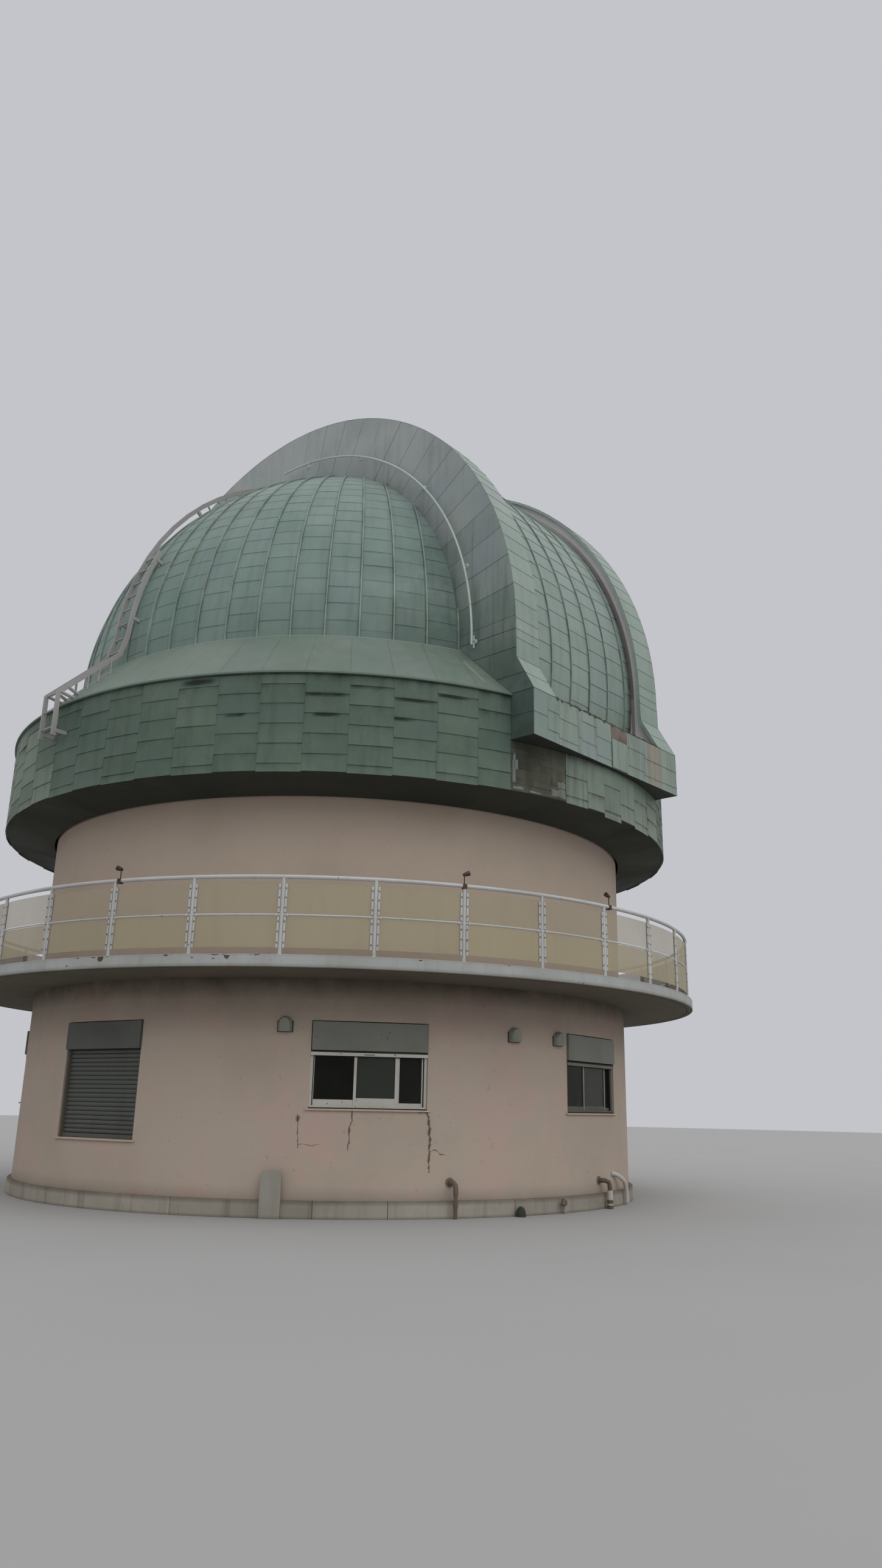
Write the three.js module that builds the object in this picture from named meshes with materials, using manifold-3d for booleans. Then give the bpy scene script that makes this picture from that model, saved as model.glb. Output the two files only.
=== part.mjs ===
// Observatory dome tower: a round two-storey drum with a balcony, and a copper-clad dome that turns on it.
// Millimetres, +Z up. Origin on the ground at the tower's axis; -Y is the front, where the slit looks.
// Azimuths are in degrees, counted from the front towards +X.
import * as THREE from "three";
import { mergeVertices } from "three/addons/utils/BufferGeometryUtils.js";
import Module from "manifold-3d";

const wasm = await Module();
wasm.setup();

// Driving dimensions
const seat = 0.3; // gap kept between pieces that rest on each other
const beyond = 8000; // larger than any radius of the tower
const roundSteps = 96; // facets of a full circle
const wallThickness = 200;

const plinthRadius = 5580;
const plinthTop = 229;
const groundRadius = 5509;
const slabRadius = 6755;
const slabBottom = 3235;
const slabTop = 3405;
const upperRadius = 5441;
const upperTop = 6250;

const segmentCount = 8; // ground storey wall segments, one window or door in each
const firstSegmentAzimuth = -82.3;
const windowWidth = 1690;
const windowTop = 2640;
const windowBottom = 1440;
const tallWindowBottom = 955; // the window closed by its roller curtain
const rollerBoxHeight = 425;
const sillHeight = 45;
const doorPosition = 3; // index of the segment that holds the doors
const doorWidth = 1000;
const doorHeight = 2100;
const balconyDoorWidth = 900;
const balconyDoorHeight = 2000;

const railRadius = 6674;
const railPipe = 29;
const postPipe = 27;
const bayCount = 33;
const baysPerSection = 3;
const firstPostAzimuth = -49.6;
const railTop = 4505;
const midRailHeight = 3950;

const domeCentre = 8775; // height of the sphere's centre, which is also the shutter's axis
const domeRadius = 5318;
const domeSteps = 64;
const domeRows = 12; // rows of facets from the horizon to the top
const skirtRadius = 6353;
const skirtBottom = 6117;
const skirtTop = 7640;
const sheetThickness = 30; // cladding with the boards and ribs behind it
const apronTopRadius = 5382;
const apronTop = 8681;
const apronOverhang = 32;
const apronLip = 20;
const apronCollar = 51;

const archRadius = 6086;
const archHalfSpan = 2140; // outer faces of the two arches
const archWidth = 480;
const flareTop = 8280;
const sillReach = 6430; // front face of the sill box, from the tower's axis
const sillBoxTop = 7680;
const sillBoxBottom = 6920;
const sillBack = 4600; // inner end of the sill box, inside the dome

const shutterRadius = 5831;
const shutterDepth = 81; // of the beams along its edges
const shutterStart = -10.3; // angles of the closed shutter's ends, from the front horizon over the top
const shutterEnd = 93;
const runnerRadius = 5700; // top of the ledges that carry the shutter
const ledgeDepth = 80;
const ledgeReach = 60;
const slitEnd = 140; // how far the slit runs past the top

const trackTop = 6330;
const wheelRadius = 85;
const ringBottom = 6500;
const ringTop = 6650;
const ringHalfWidth = 120;

const radians = THREE.MathUtils.degToRad;
const degrees = THREE.MathUtils.radToDeg;
const slitHalfWidth = archHalfSpan - archWidth;

// Materials
function paint(color, roughness, metalness = 0) {
  return new THREE.MeshStandardMaterial({ color, roughness, metalness });
}
const concrete = paint(0x85837d, 0.95);
const plaster = paint(0x9a877b, 0.95);
const balconyPaint = paint(0x9b9d9c, 0.8);
const copper = paint(0x74897f, 0.7, 0.2);
const cheekCopper = paint(0x7b8584, 0.7, 0.2);
const aluminium = paint(0xa5a6a4, 0.45, 0.8);
const glass = paint(0x2c302f, 0.15);
const steel = paint(0x8e8a8b, 0.6, 0.5);
const doorPaint = paint(0x8b8f8a, 0.6);
const darkSteel = paint(0x35332f, 0.8, 0.3);

// A closed three.js geometry as a solid that can be joined and cut.
function solid(geometry) {
  const bare = geometry.clone();
  bare.deleteAttribute("normal");
  bare.deleteAttribute("uv");
  const merged = mergeVertices(bare, 1e-3);
  return new wasm.Manifold(
    new wasm.Mesh({
      numProp: 3,
      vertProperties: new Float32Array(merged.attributes.position.array),
      triVerts: new Uint32Array(merged.index.array),
    }),
  );
}

function geometryOf(body) {
  const mesh = body.getMesh();
  const positions = new Float32Array(mesh.numVert * 3);
  for (let i = 0; i < mesh.numVert; i++) {
    positions.set(mesh.vertProperties.subarray(i * mesh.numProp, i * mesh.numProp + 3), i * 3);
  }
  const geometry = new THREE.BufferGeometry();
  geometry.setAttribute("position", new THREE.BufferAttribute(positions, 3));
  geometry.setIndex(new THREE.BufferAttribute(new Uint32Array(mesh.triVerts), 1));
  return geometry;
}

function piece(name, body, material, azimuth = 0) {
  const mesh = new THREE.Mesh(geometryOf(body), material);
  mesh.name = name;
  mesh.rotation.z = radians(azimuth);
  return mesh;
}

function joined(bodies) {
  return bodies.reduce((sum, next) => sum.add(next));
}

function onCircle(radius, azimuth) {
  return [radius * Math.sin(radians(azimuth)), -radius * Math.cos(radians(azimuth))];
}

function block(x0, x1, y0, y1, z0, z1) {
  const box = new THREE.BoxGeometry(x1 - x0, y1 - y0, z1 - z0);
  box.translate((x0 + x1) / 2, (y0 + y1) / 2, (z0 + z1) / 2);
  return solid(box);
}

// Part of a round wall between two azimuths, with flat facets between its corners.
function curvedWall(innerRadius, outerRadius, from, to, bottom, top, steps) {
  const shape = new THREE.Shape();
  for (let i = 0; i <= steps; i++) {
    const [x, y] = onCircle(outerRadius, from + ((to - from) * i) / steps);
    if (i === 0) {
      shape.moveTo(x, y);
    } else {
      shape.lineTo(x, y);
    }
  }
  for (let i = steps; i >= 0; i--) {
    shape.lineTo(...onCircle(innerRadius, from + ((to - from) * i) / steps));
  }
  shape.closePath();
  const wall = new THREE.ExtrudeGeometry(shape, { depth: top - bottom, bevelEnabled: false });
  wall.translate(0, 0, bottom);
  return solid(wall);
}

// A full turn of a closed outline of [radius, height] points.
function turned(outline, steps = roundSteps) {
  const points = outline.map(([r, z]) => new THREE.Vector2(r, z));
  if (THREE.ShapeUtils.area(points) < 0) {
    points.reverse();
  }
  const ring = points[0].x > 0 || points[points.length - 1].x > 0;
  if (ring) {
    points.push(points[0].clone());
  }
  const lathe = new THREE.LatheGeometry(points, steps);
  lathe.rotateX(Math.PI / 2);
  return solid(lathe);
}

// A side view outline of [distance to the front, height] points, given thickness from x0 to x1.
const sideView = new THREE.Matrix4().makeBasis(
  new THREE.Vector3(0, -1, 0),
  new THREE.Vector3(0, 0, 1),
  new THREE.Vector3(-1, 0, 0),
);
function upright(outline, x0, x1) {
  const shape = new THREE.Shape(outline.map(([s, z]) => new THREE.Vector2(s, z)));
  const plate = new THREE.ExtrudeGeometry(shape, { depth: x1 - x0, bevelEnabled: false });
  plate.applyMatrix4(sideView);
  plate.translate(x1, 0, 0);
  return solid(plate);
}

// Points round the dome's centre, seen from the side; 0 degrees is the front horizon.
function sidePoint(radius, angle) {
  return [radius * Math.cos(radians(angle)), domeCentre + radius * Math.sin(radians(angle))];
}

function sideArc(radius, from, to, steps) {
  const points = [];
  for (let i = 0; i <= steps; i++) {
    points.push(sidePoint(radius, from + ((to - from) * i) / steps));
  }
  return points;
}

// A curved band about the dome's centre, seen from the side
function curvedBand([outer, inner], [from, to], [x0, x1], steps) {
  return upright([...sideArc(outer, from, to, steps), ...sideArc(inner, to, from, steps)], x0, x1);
}

// A regular polygon, the section of a pipe
function polygonShape(sides, radius) {
  const shape = new THREE.Shape();
  for (let i = 0; i < sides; i++) {
    const angle = (2 * Math.PI * (i + 0.5)) / sides;
    const x = radius * Math.cos(angle);
    const y = radius * Math.sin(angle);
    if (i === 0) {
      shape.moveTo(x, y);
    } else {
      shape.lineTo(x, y);
    }
  }
  shape.closePath();
  return shape;
}

// A route given by a function that turns 0 to 1 into a point
class TurnCurve extends THREE.Curve {
  constructor(pointAt) {
    super();
    this.pointAt = pointAt;
  }
  getPoint(t, target = new THREE.Vector3()) {
    return target.set(...this.pointAt(t));
  }
}

function pipeAlong(pointAt, steps, sides, radius) {
  const pipe = new THREE.ExtrudeGeometry(polygonShape(sides, radius), {
    steps,
    bevelEnabled: false,
    extrudePath: new TurnCurve(pointAt),
  });
  return solid(pipe);
}

// Foundation: one raft of concrete, whose top is the ground floor and whose edge is the plinth
function foundation() {
  return turned([
    [0, 0],
    [plinthRadius, 0],
    [plinthRadius, plinthTop],
    [0, plinthTop],
  ]);
}

// Ground storey
const segmentAngle = 360 / segmentCount;
const segmentAzimuths = [];
for (let i = 0; i < segmentCount; i++) {
  segmentAzimuths.push(firstSegmentAzimuth + i * segmentAngle);
}

const sillProud = 36;
const sillAngle = 9.4; // half of what the sill spans, a little more than the opening

// The block that cuts a window or door through a drum's wall
function opening(width, bottom, top) {
  return block(-width / 2, width / 2, -beyond, -groundRadius + 2 * wallThickness, bottom, top);
}

function groundWall(index) {
  const bottom = plinthTop + seat;
  const top = slabBottom - seat;
  const inner = groundRadius - wallThickness;
  const halfAngle = segmentAngle / 2 - degrees(seat / 2 / inner);
  const wall = curvedWall(inner, groundRadius, -halfAngle, halfAngle, bottom, top, 12);
  if (index === doorPosition) {
    return wall.subtract(opening(doorWidth, 0, plinthTop + doorHeight));
  }
  const sillTop = index === 0 ? tallWindowBottom : windowBottom;
  const sillBottom = sillTop - sillHeight;
  const sill = curvedWall(inner, groundRadius + sillProud, -sillAngle, sillAngle, sillBottom, sillTop, 6);
  return wall.subtract(opening(windowWidth, sillBottom, windowTop)).add(sill);
}

// A window unit stands behind its opening's face: a roller box on top and a frame below it.
const frameFace = groundRadius - 105; // outer face of the frames
const frameDepth = 70;
const frameBar = 42;
const boxFace = groundRadius - 29; // outer face of the roller boxes
const boxLap = 10; // how far frames reach up behind the roller box
const paneThickness = 12;
const curtainGuide = 45;

function frameOpening(bottom) {
  const halfWidth = windowWidth / 2 - seat;
  const low = bottom + seat;
  const high = windowTop - rollerBoxHeight;
  return { halfWidth, low, high };
}

function rollerBox() {
  const halfWidth = windowWidth / 2 - seat;
  return block(
    -halfWidth,
    halfWidth,
    -boxFace,
    -frameFace + frameDepth,
    windowTop - rollerBoxHeight,
    windowTop - seat,
  );
}

// The sashes meet at two mullions, as the front window shows.
const mullions = [
  { from: -215, to: -160 },
  { from: 365, to: 470 },
];

function slidingWindow() {
  const { halfWidth, low, high } = frameOpening(windowBottom);
  const outer = block(-halfWidth, halfWidth, -frameFace, -frameFace + frameDepth, low, high + boxLap);
  const through = block(
    -halfWidth + frameBar,
    halfWidth - frameBar,
    -beyond,
    0,
    low + frameBar,
    high - 2 * frameBar,
  );
  const uprights = mullions.map(({ from, to }) =>
    block(from, to, -frameFace + 10, -frameFace + frameDepth, low + 10, high),
  );
  return joined([rollerBox(), outer.subtract(through), ...uprights]);
}

function windowGlass() {
  // One pane sheet behind the sashes' bars, seated against them from inside.
  const { halfWidth, low, high } = frameOpening(windowBottom);
  const back = -frameFace + frameDepth + seat;
  const side = halfWidth - frameBar / 3;
  return block(-side, side, back, back + paneThickness, low + frameBar / 3, high - frameBar);
}

function curtainWindow() {
  const { halfWidth, low, high } = frameOpening(tallWindowBottom);
  const face = -frameFace;
  const back = face + frameDepth;
  const top = high + boxLap;
  const inside = halfWidth - curtainGuide;
  const curtain = block(-inside - 5, inside + 5, face + 25, face + 50, low, top);
  const leftGuide = block(-halfWidth, -inside, face, back, low, top);
  const rightGuide = block(inside, halfWidth, face, back, low, top);
  return joined([rollerBox(), curtain, leftGuide, rightGuide]);
}

// A steel door: a leaf set in a frame, shut, with a lever handle
const doorDepth = 90;
const doorFrame = 60;
const leafRecess = 25;
const handleHeight = 1000;

function steelDoor(width, height, floor, faceRadius) {
  const face = -(faceRadius - 70);
  const half = width / 2 - seat;
  const top = floor + height;
  const frame = block(-half, half, face, face + doorDepth, floor + seat, top - seat);
  const recess = block(-half + doorFrame, half - doorFrame, -beyond, face + leafRecess, 0, top - doorFrame);
  const grip = floor + handleHeight;
  const neck = block(half - 150, half - 130, face - 30, face + 40, grip, grip + 20);
  const lever = block(half - 250, half - 130, face - 45, face - 25, grip, grip + 20);
  return joined([frame.subtract(recess), neck, lever]);
}

// Balcony slab: it is also the upper floor
function balconySlab() {
  return turned([
    [0, slabBottom],
    [slabRadius, slabBottom],
    [slabRadius, slabTop],
    [0, slabTop],
  ]);
}

// Upper storey: four plain quarters of wall, one of them with the balcony door
const quarterAzimuths = [0, 1, 2, 3].map((i) => segmentAzimuths[doorPosition] + 90 * (i - 1));

function upperWall(index) {
  const inner = upperRadius - wallThickness;
  const halfAngle = 45 - degrees(seat / 2 / inner);
  const wall = curvedWall(inner, upperRadius, -halfAngle, halfAngle, slabTop + seat, upperTop, 24);
  if (quarterAzimuths[index] !== segmentAzimuths[doorPosition]) {
    return wall;
  }
  return wall.subtract(opening(balconyDoorWidth, 0, slabTop + balconyDoorHeight));
}

// Railing: three bays to a section, each with a post, a stretch of rails and two infill panels
const bayAngle = 360 / bayCount;
const sectionAngle = bayAngle * baysPerSection;
const sectionCount = bayCount / baysPerSection;
const panelThickness = 8;
const midRailHalf = 11;
const upperPanel = { bottom: midRailHeight + 20, top: railTop - railPipe - 45 };
const lowerPanel = { bottom: slabTop + 105, top: midRailHeight - 20 };

function arcAt(radius, height, from, to) {
  return (t) => [...onCircle(radius, from + (to - from) * t), height];
}

function railingPost(azimuth) {
  const [x, y] = onCircle(railRadius, azimuth);
  const top = railTop - railPipe;
  const bottom = slabTop + seat;
  const post = new THREE.CylinderGeometry(postPipe, postPipe, top - bottom, 6);
  post.rotateX(Math.PI / 2);
  post.translate(x, y, (top + bottom) / 2);
  return solid(post);
}

function railingSection() {
  const end = sectionAngle - degrees(seat / railRadius);
  const steps = baysPerSection * 2;
  const inside = railRadius - midRailHalf;
  const outside = railRadius + midRailHalf;
  const parts = [
    pipeAlong(arcAt(railRadius, railTop - railPipe, 0, end), steps, 6, railPipe),
    curvedWall(inside, outside, 0, end, midRailHeight - midRailHalf, midRailHeight + midRailHalf, steps),
  ];
  for (let i = 0; i < baysPerSection; i++) {
    const from = i === 0 ? degrees((postPipe + seat) / railRadius) : i * bayAngle;
    const to = i === baysPerSection - 1 ? end - 0.2 : (i + 1) * bayAngle;
    parts.push(railingPost(from));
    for (const { bottom, top } of [upperPanel, lowerPanel]) {
      const back = railRadius - panelThickness / 2;
      parts.push(curvedWall(back, back + panelThickness, from, to, bottom, top, 1));
    }
  }
  return joined(parts);
}

// Turning track on top of the drum, and the dome's ring with its wheels
const trackCentre = upperRadius - wallThickness / 2;
const trackHalfWidth = 60;
const wheelCount = 8;
const wheelWidth = 60;
const forkSize = { across: 50, along: 140, lift: 50 };
const hiddenSteps = 48; // facets of rings that stay out of sight

function track() {
  return turned([
    [trackCentre - trackHalfWidth, upperTop + seat],
    [trackCentre + trackHalfWidth, upperTop + seat],
    [trackCentre + trackHalfWidth, trackTop],
    [trackCentre - trackHalfWidth, trackTop],
  ], hiddenSteps);
}

function wheelRing() {
  const ring = turned([
    [domeRadius - ringHalfWidth, ringBottom],
    [domeRadius + ringHalfWidth, ringBottom],
    [domeRadius + ringHalfWidth, ringTop],
    [domeRadius - ringHalfWidth, ringTop],
  ], hiddenSteps);
  const wheels = [];
  for (let i = 0; i < wheelCount; i++) {
    const azimuth = (360 / wheelCount) * (i + 0.5);
    const axleHeight = trackTop + seat + wheelRadius;
    const wheel = new THREE.CylinderGeometry(wheelRadius, wheelRadius, wheelWidth, 12);
    wheel.translate(0, -trackCentre, axleHeight);
    wheel.rotateZ(radians(azimuth));
    wheels.push(solid(wheel));
    const fork = new THREE.BoxGeometry(forkSize.across, forkSize.along, forkSize.along);
    fork.translate(0, -trackCentre, axleHeight + forkSize.lift);
    fork.rotateZ(radians(azimuth));
    wheels.push(solid(fork));
  }
  return joined([ring, ...wheels]);
}

// Dome cladding
// The dome's round body, a half sphere on a cylinder, as a solid
function domeBall(radius, bottom) {
  const points = [
    [0, bottom],
    [radius, bottom],
    ...sideArc(radius, 0, 90, domeRows),
  ];
  points[points.length - 1][0] = 0;
  return turned(points, domeSteps);
}

function domeShell() {
  const inside = domeBall(domeRadius - sheetThickness, 0);
  const shell = domeBall(domeRadius, ringTop + seat).subtract(inside);
  const slit = block(-slitHalfWidth, slitHalfWidth, -beyond, slitEnd, sillBoxTop, domeCentre + beyond);
  return shell.subtract(slit);
}

function skirt() {
  const ring = turned([
    [skirtRadius - sheetThickness, skirtBottom],
    [skirtRadius, skirtBottom],
    [skirtRadius, skirtTop],
    [skirtRadius - sheetThickness, skirtTop],
  ]);
  const half = archHalfSpan + seat;
  return ring.subtract(block(-half, half, -beyond, beyond, sillBoxBottom - seat, beyond));
}

function apron(side) {
  const inside = domeRadius - 2 * sheetThickness;
  const edge = skirtRadius + apronOverhang;
  const ring = turned([
    [inside, apronTop + apronLip],
    [domeRadius + 10, apronTop + apronLip],
    [apronTopRadius, apronTop],
    [edge, skirtTop + apronLip],
    [edge, skirtTop + seat],
    [skirtRadius - sheetThickness, skirtTop + seat],
    [skirtRadius - sheetThickness, skirtTop + 2 * apronLip],
    [apronTopRadius + 18, apronTop - apronCollar],
    [inside, apronTop - apronCollar],
  ]);
  const from = archHalfSpan + seat;
  const left = side < 0 ? -beyond : from;
  const half = block(left, left + beyond - from, -beyond, beyond, 0, 2 * beyond);
  return ring.subtract(domeBall(domeRadius + seat, 0)).intersect(half);
}

const soffitDrop = 137; // how far the soffit's inner edge hangs below the skirt
const soffitSheet = 40;
const soffitGap = 49; // round the drum, for the dome to turn

function skirtSoffit() {
  const outer = skirtRadius - sheetThickness - seat;
  const inner = upperRadius + soffitGap;
  const low = skirtBottom - soffitDrop;
  return turned([
    [inner, low],
    [outer, skirtBottom],
    [outer, skirtBottom + soffitSheet],
    [inner, low + soffitSheet],
  ]);
}

// Arches: U-shaped in section, on the dome and the sill boxes, with a ledge inside for the shutter
const legLean = 14; // how far the legs lean out below the arc

function archOutline(inset) {
  const top = archRadius - inset;
  const leg = flareTop;
  const low = sillBoxTop + seat;
  const flare = sillReach - inset;
  const foot = top + legLean;
  return [[flare, low], [foot, leg], ...sideArc(top, 0, 180, 48), [-foot, leg], [-flare, low]];
}

const ledgeOverrun = 7.5; // degrees that the ledges run below the horizon, front and rear
const rimReach = 120; // how far the top sheets reach over the shutter's edges

function arch(side) {
  const outer = side > 0 ? archHalfSpan : -slitHalfWidth;
  const inner = side > 0 ? slitHalfWidth : -archHalfSpan;
  const body = upright(archOutline(0), inner, outer);
  const hollow = upright(archOutline(sheetThickness), inner + sheetThickness, outer - sheetThickness);
  const ledgeFrom = side > 0 ? inner - ledgeReach : outer - sheetThickness / 2;
  const ledge = curvedBand(
    [runnerRadius, runnerRadius - ledgeDepth],
    [-ledgeOverrun, 180 + ledgeOverrun],
    [ledgeFrom, ledgeFrom + ledgeReach + sheetThickness / 2],
    52,
  );
  const rimFrom = side > 0 ? inner - rimReach : outer - sheetThickness / 2;
  const rimTo = rimFrom + rimReach + sheetThickness / 2;
  const underRim = upright(archOutline(sheetThickness), rimFrom - 1, rimTo + 1);
  const rim = upright(archOutline(0), rimFrom, rimTo).subtract(underRim);
  return joined([body.subtract(hollow).subtract(domeBall(domeRadius + seat, 0)), ledge, rim]);
}

function sillBox(side) {
  const half = archHalfSpan;
  const hollowHalf = half - sheetThickness;
  const reach = sillReach - sheetThickness;
  const low = sillBoxBottom + sheetThickness;
  const high = sillBoxTop - sheetThickness;
  const box = block(-half, half, -sillReach, -sillBack, sillBoxBottom, sillBoxTop);
  const hollow = block(-hollowHalf, hollowHalf, -reach, 0, low, high);
  const front = box.subtract(hollow).subtract(domeBall(domeRadius + seat, 0));
  return side > 0 ? front : front.rotate([0, 0, 180]);
}

// Shutter: a curved leaf that slides over the top between the arches
const shutterHalfWidth = slitHalfWidth - 20;

const shutterBeam = 60; // width of the beams along its edges
const shoeSize = { across: 50, along: 140, lap: 20 };
const shoeAngles = [3.75, 82.5];
const tailWidth = 0.6; // degrees
const tailRadius = 5425; // of the rear plate's edge, which passes the dome's straight foot

function shutter() {
  const half = shutterHalfWidth;
  const steps = 28;
  const under = shutterRadius - shutterDepth;
  const behindSheet = shutterRadius - sheetThickness;
  const tailHalf = half - 70;
  const whole = [shutterStart, shutterEnd];
  const lip = [shutterStart, shutterStart + tailWidth];
  const tail = [shutterEnd - tailWidth, shutterEnd];
  const beam = [behindSheet + 5, under];
  const parts = [
    curvedBand([shutterRadius, behindSheet], whole, [-half, half], steps),
    curvedBand(beam, whole, [-half, -half + shutterBeam], steps),
    curvedBand(beam, whole, [half - shutterBeam, half], steps),
    curvedBand(beam, lip, [-half, half], 1),
    curvedBand([behindSheet + 5, tailRadius], tail, [-tailHalf, tailHalf], 1),
  ];
  const shoeFoot = runnerRadius + seat;
  const shoeTop = under + shoeSize.lap;
  for (const angle of shoeAngles) {
    for (const side of [-1, 1]) {
      const shoe = new THREE.BoxGeometry(shoeSize.across, shoeSize.along, shoeTop - shoeFoot);
      shoe.translate(0, 0, (shoeTop + shoeFoot) / 2);
      shoe.rotateX(radians(90 - angle));
      shoe.translate(side * (slitHalfWidth - 35), 0, domeCentre);
      parts.push(solid(shoe));
    }
  }
  return joined(parts);
}

// Ladder up the dome's left side: two flat stringers with rungs; the rear one runs on to the arch
const stringerOffset = 190;
const stringerWidth = 80;
const stringerThickness = 30;

const ladderRadius = domeRadius + 150;
const skirtStandOff = 217;
const ladderFoot = 7050;
const ladderKnee = 7780; // where it bends over the apron
const rungSpacing = 300;
const rungHalf = 12;
const frontStringerEnd = 24; // degrees up the dome
const rearStringerEnd = 69;
const frontBrackets = [8, 22];
const rearBrackets = [8, 22, 42, 60];
const skirtBracketHeight = 7130;

function ladderRoute(end) {
  const route = [
    [skirtRadius + skirtStandOff, ladderFoot],
    [skirtRadius + skirtStandOff, ladderKnee],
    [ladderRadius + 92, domeCentre + 15],
  ];
  for (let angle = 4; angle <= end; angle += 5) {
    route.push(sidePoint(ladderRadius, angle));
  }
  return route;
}

// A bracket that holds a stringer off the dome, and one that holds it off the skirt
function domeBracket(angle, y) {
  const foot = domeRadius - 2 * sheetThickness;
  const bracket = new THREE.BoxGeometry(ladderRadius - foot, stringerThickness + 10, 60);
  bracket.translate(-(ladderRadius + foot) / 2, 0, 0);
  bracket.rotateY(radians(angle));
  bracket.translate(0, y, domeCentre);
  return solid(bracket).subtract(domeBall(domeRadius + seat, 0));
}

function skirtBracket(y) {
  const half = stringerThickness / 2 + 5;
  const low = skirtBracketHeight - 30;
  const bar = block(-skirtRadius - skirtStandOff, -skirtRadius + 100, y - half, y + half, low, low + 60);
  const skirtBody = turned([
    [0, skirtBottom],
    [skirtRadius + seat, skirtBottom],
    [skirtRadius + seat, skirtTop],
    [0, skirtTop],
  ]);
  return bar.subtract(skirtBody);
}

function stringer(route, y) {
  const outside = [];
  const inside = [];
  route.forEach(([r, z], i) => {
    const before = route[Math.max(i - 1, 0)];
    const after = route[Math.min(i + 1, route.length - 1)];
    const run = new THREE.Vector2(after[0] - before[0], after[1] - before[1]).normalize();
    outside.push([r + (run.y * stringerWidth) / 2, z - (run.x * stringerWidth) / 2]);
    inside.unshift([r - (run.y * stringerWidth) / 2, z + (run.x * stringerWidth) / 2]);
  });
  const shape = new THREE.Shape([...outside, ...inside].map(([r, z]) => new THREE.Vector2(-r, z)));
  const bar = new THREE.ExtrudeGeometry(shape, { depth: stringerThickness, bevelEnabled: false });
  bar.rotateX(Math.PI / 2);
  bar.translate(0, y + stringerThickness / 2, 0);
  return solid(bar);
}

function ladder() {
  const front = stringer(ladderRoute(frontStringerEnd), -stringerOffset);
  const rear = stringer(ladderRoute(rearStringerEnd), stringerOffset);
  const rungs = [];
  const route = ladderRoute(frontStringerEnd);
  let left = rungSpacing / 2;
  for (let i = 1; i < route.length; i++) {
    const [r0, z0] = route[i - 1];
    const [r1, z1] = route[i];
    const length = Math.hypot(r1 - r0, z1 - z0);
    while (left < length) {
      const r = r0 + ((r1 - r0) * left) / length;
      const z = z0 + ((z1 - z0) * left) / length;
      const [x0, x1] = [-r - rungHalf, -r + rungHalf];
      rungs.push(block(x0, x1, -stringerOffset, stringerOffset, z - rungHalf, z + rungHalf));
      left += rungSpacing;
    }
    left -= length;
  }
  const brackets = [
    skirtBracket(-stringerOffset),
    skirtBracket(stringerOffset),
    ...frontBrackets.map((angle) => domeBracket(angle, -stringerOffset)),
    ...rearBrackets.map((angle) => domeBracket(angle, stringerOffset)),
  ];
  const pastArch = block(-archHalfSpan - seat, 0, -beyond, beyond, 0, 2 * beyond);
  return joined([front, rear, ...rungs, ...brackets]).subtract(pastArch);
}

// Grab rail: a bent pipe on studs, on the left arch's outer cheek
const grabRadius = 5250;
const grabStandOff = 100;
const grabPipe = 20;
const grabStuds = [0, 16, 64, 82];

function grabRail() {
  const x = -archHalfSpan - grabStandOff;
  const pipe = pipeAlong(
    (t) => {
      const [s, z] = sidePoint(grabRadius, -1 + 90 * t);
      return [x, -s, z];
    },
    24,
    6,
    grabPipe,
  );
  const studs = grabStuds.map((angle) => {
    const [s, z] = sidePoint(grabRadius, angle);
    return block(x - 10, -archHalfSpan - seat, -s - 18, -s + 18, z - 18, z + 18);
  });
  return joined([pipe, ...studs]);
}

// Assembly
const tower = new THREE.Group();
const dome = new THREE.Group();
const root = new THREE.Group();
root.add(tower, dome);

tower.add(piece("foundation", foundation(), concrete));
segmentAzimuths.forEach((azimuth, i) => {
  tower.add(piece(`ground_wall_${i + 1}`, groundWall(i), plaster, azimuth));
  if (i === doorPosition) {
    const door = steelDoor(doorWidth, doorHeight, plinthTop, groundRadius);
    tower.add(piece("ground_door", door, doorPaint, azimuth));
  } else if (i === 0) {
    tower.add(piece("window_1", curtainWindow(), aluminium, azimuth));
  } else {
    tower.add(piece(`window_${i + 1}`, slidingWindow(), aluminium, azimuth));
    tower.add(piece(`glass_${i + 1}`, windowGlass(), glass, azimuth));
  }
});
tower.add(piece("balcony_slab", balconySlab(), balconyPaint));
quarterAzimuths.forEach((azimuth, i) => {
  tower.add(piece(`upper_wall_${i + 1}`, upperWall(i), plaster, azimuth));
});
const upperDoor = steelDoor(balconyDoorWidth, balconyDoorHeight, slabTop, upperRadius);
tower.add(piece("balcony_door", upperDoor, doorPaint, segmentAzimuths[doorPosition]));
for (let i = 0; i < sectionCount; i++) {
  tower.add(piece(`railing_${i + 1}`, railingSection(), steel, firstPostAzimuth + i * sectionAngle));
}
tower.add(piece("track", track(), darkSteel));

dome.add(piece("wheel_ring", wheelRing(), darkSteel));
dome.add(piece("dome_shell", domeShell(), copper));
dome.add(piece("skirt", skirt(), copper));
dome.add(piece("skirt_soffit", skirtSoffit(), darkSteel));
dome.add(piece("apron_left", apron(-1), copper));
dome.add(piece("apron_right", apron(1), copper));
dome.add(piece("arch_left", arch(-1), cheekCopper));
dome.add(piece("arch_right", arch(1), cheekCopper));
dome.add(piece("front_sill", sillBox(1), copper));
dome.add(piece("rear_sill", sillBox(-1), copper));
dome.add(piece("ladder", ladder(), steel));
dome.add(piece("grab_rail", grabRail(), steel));
dome.add(piece("shutter", shutter(), copper));

export default root;
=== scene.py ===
import math
import random

import bpy
import numpy as np
from mathutils import Matrix, Vector


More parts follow.
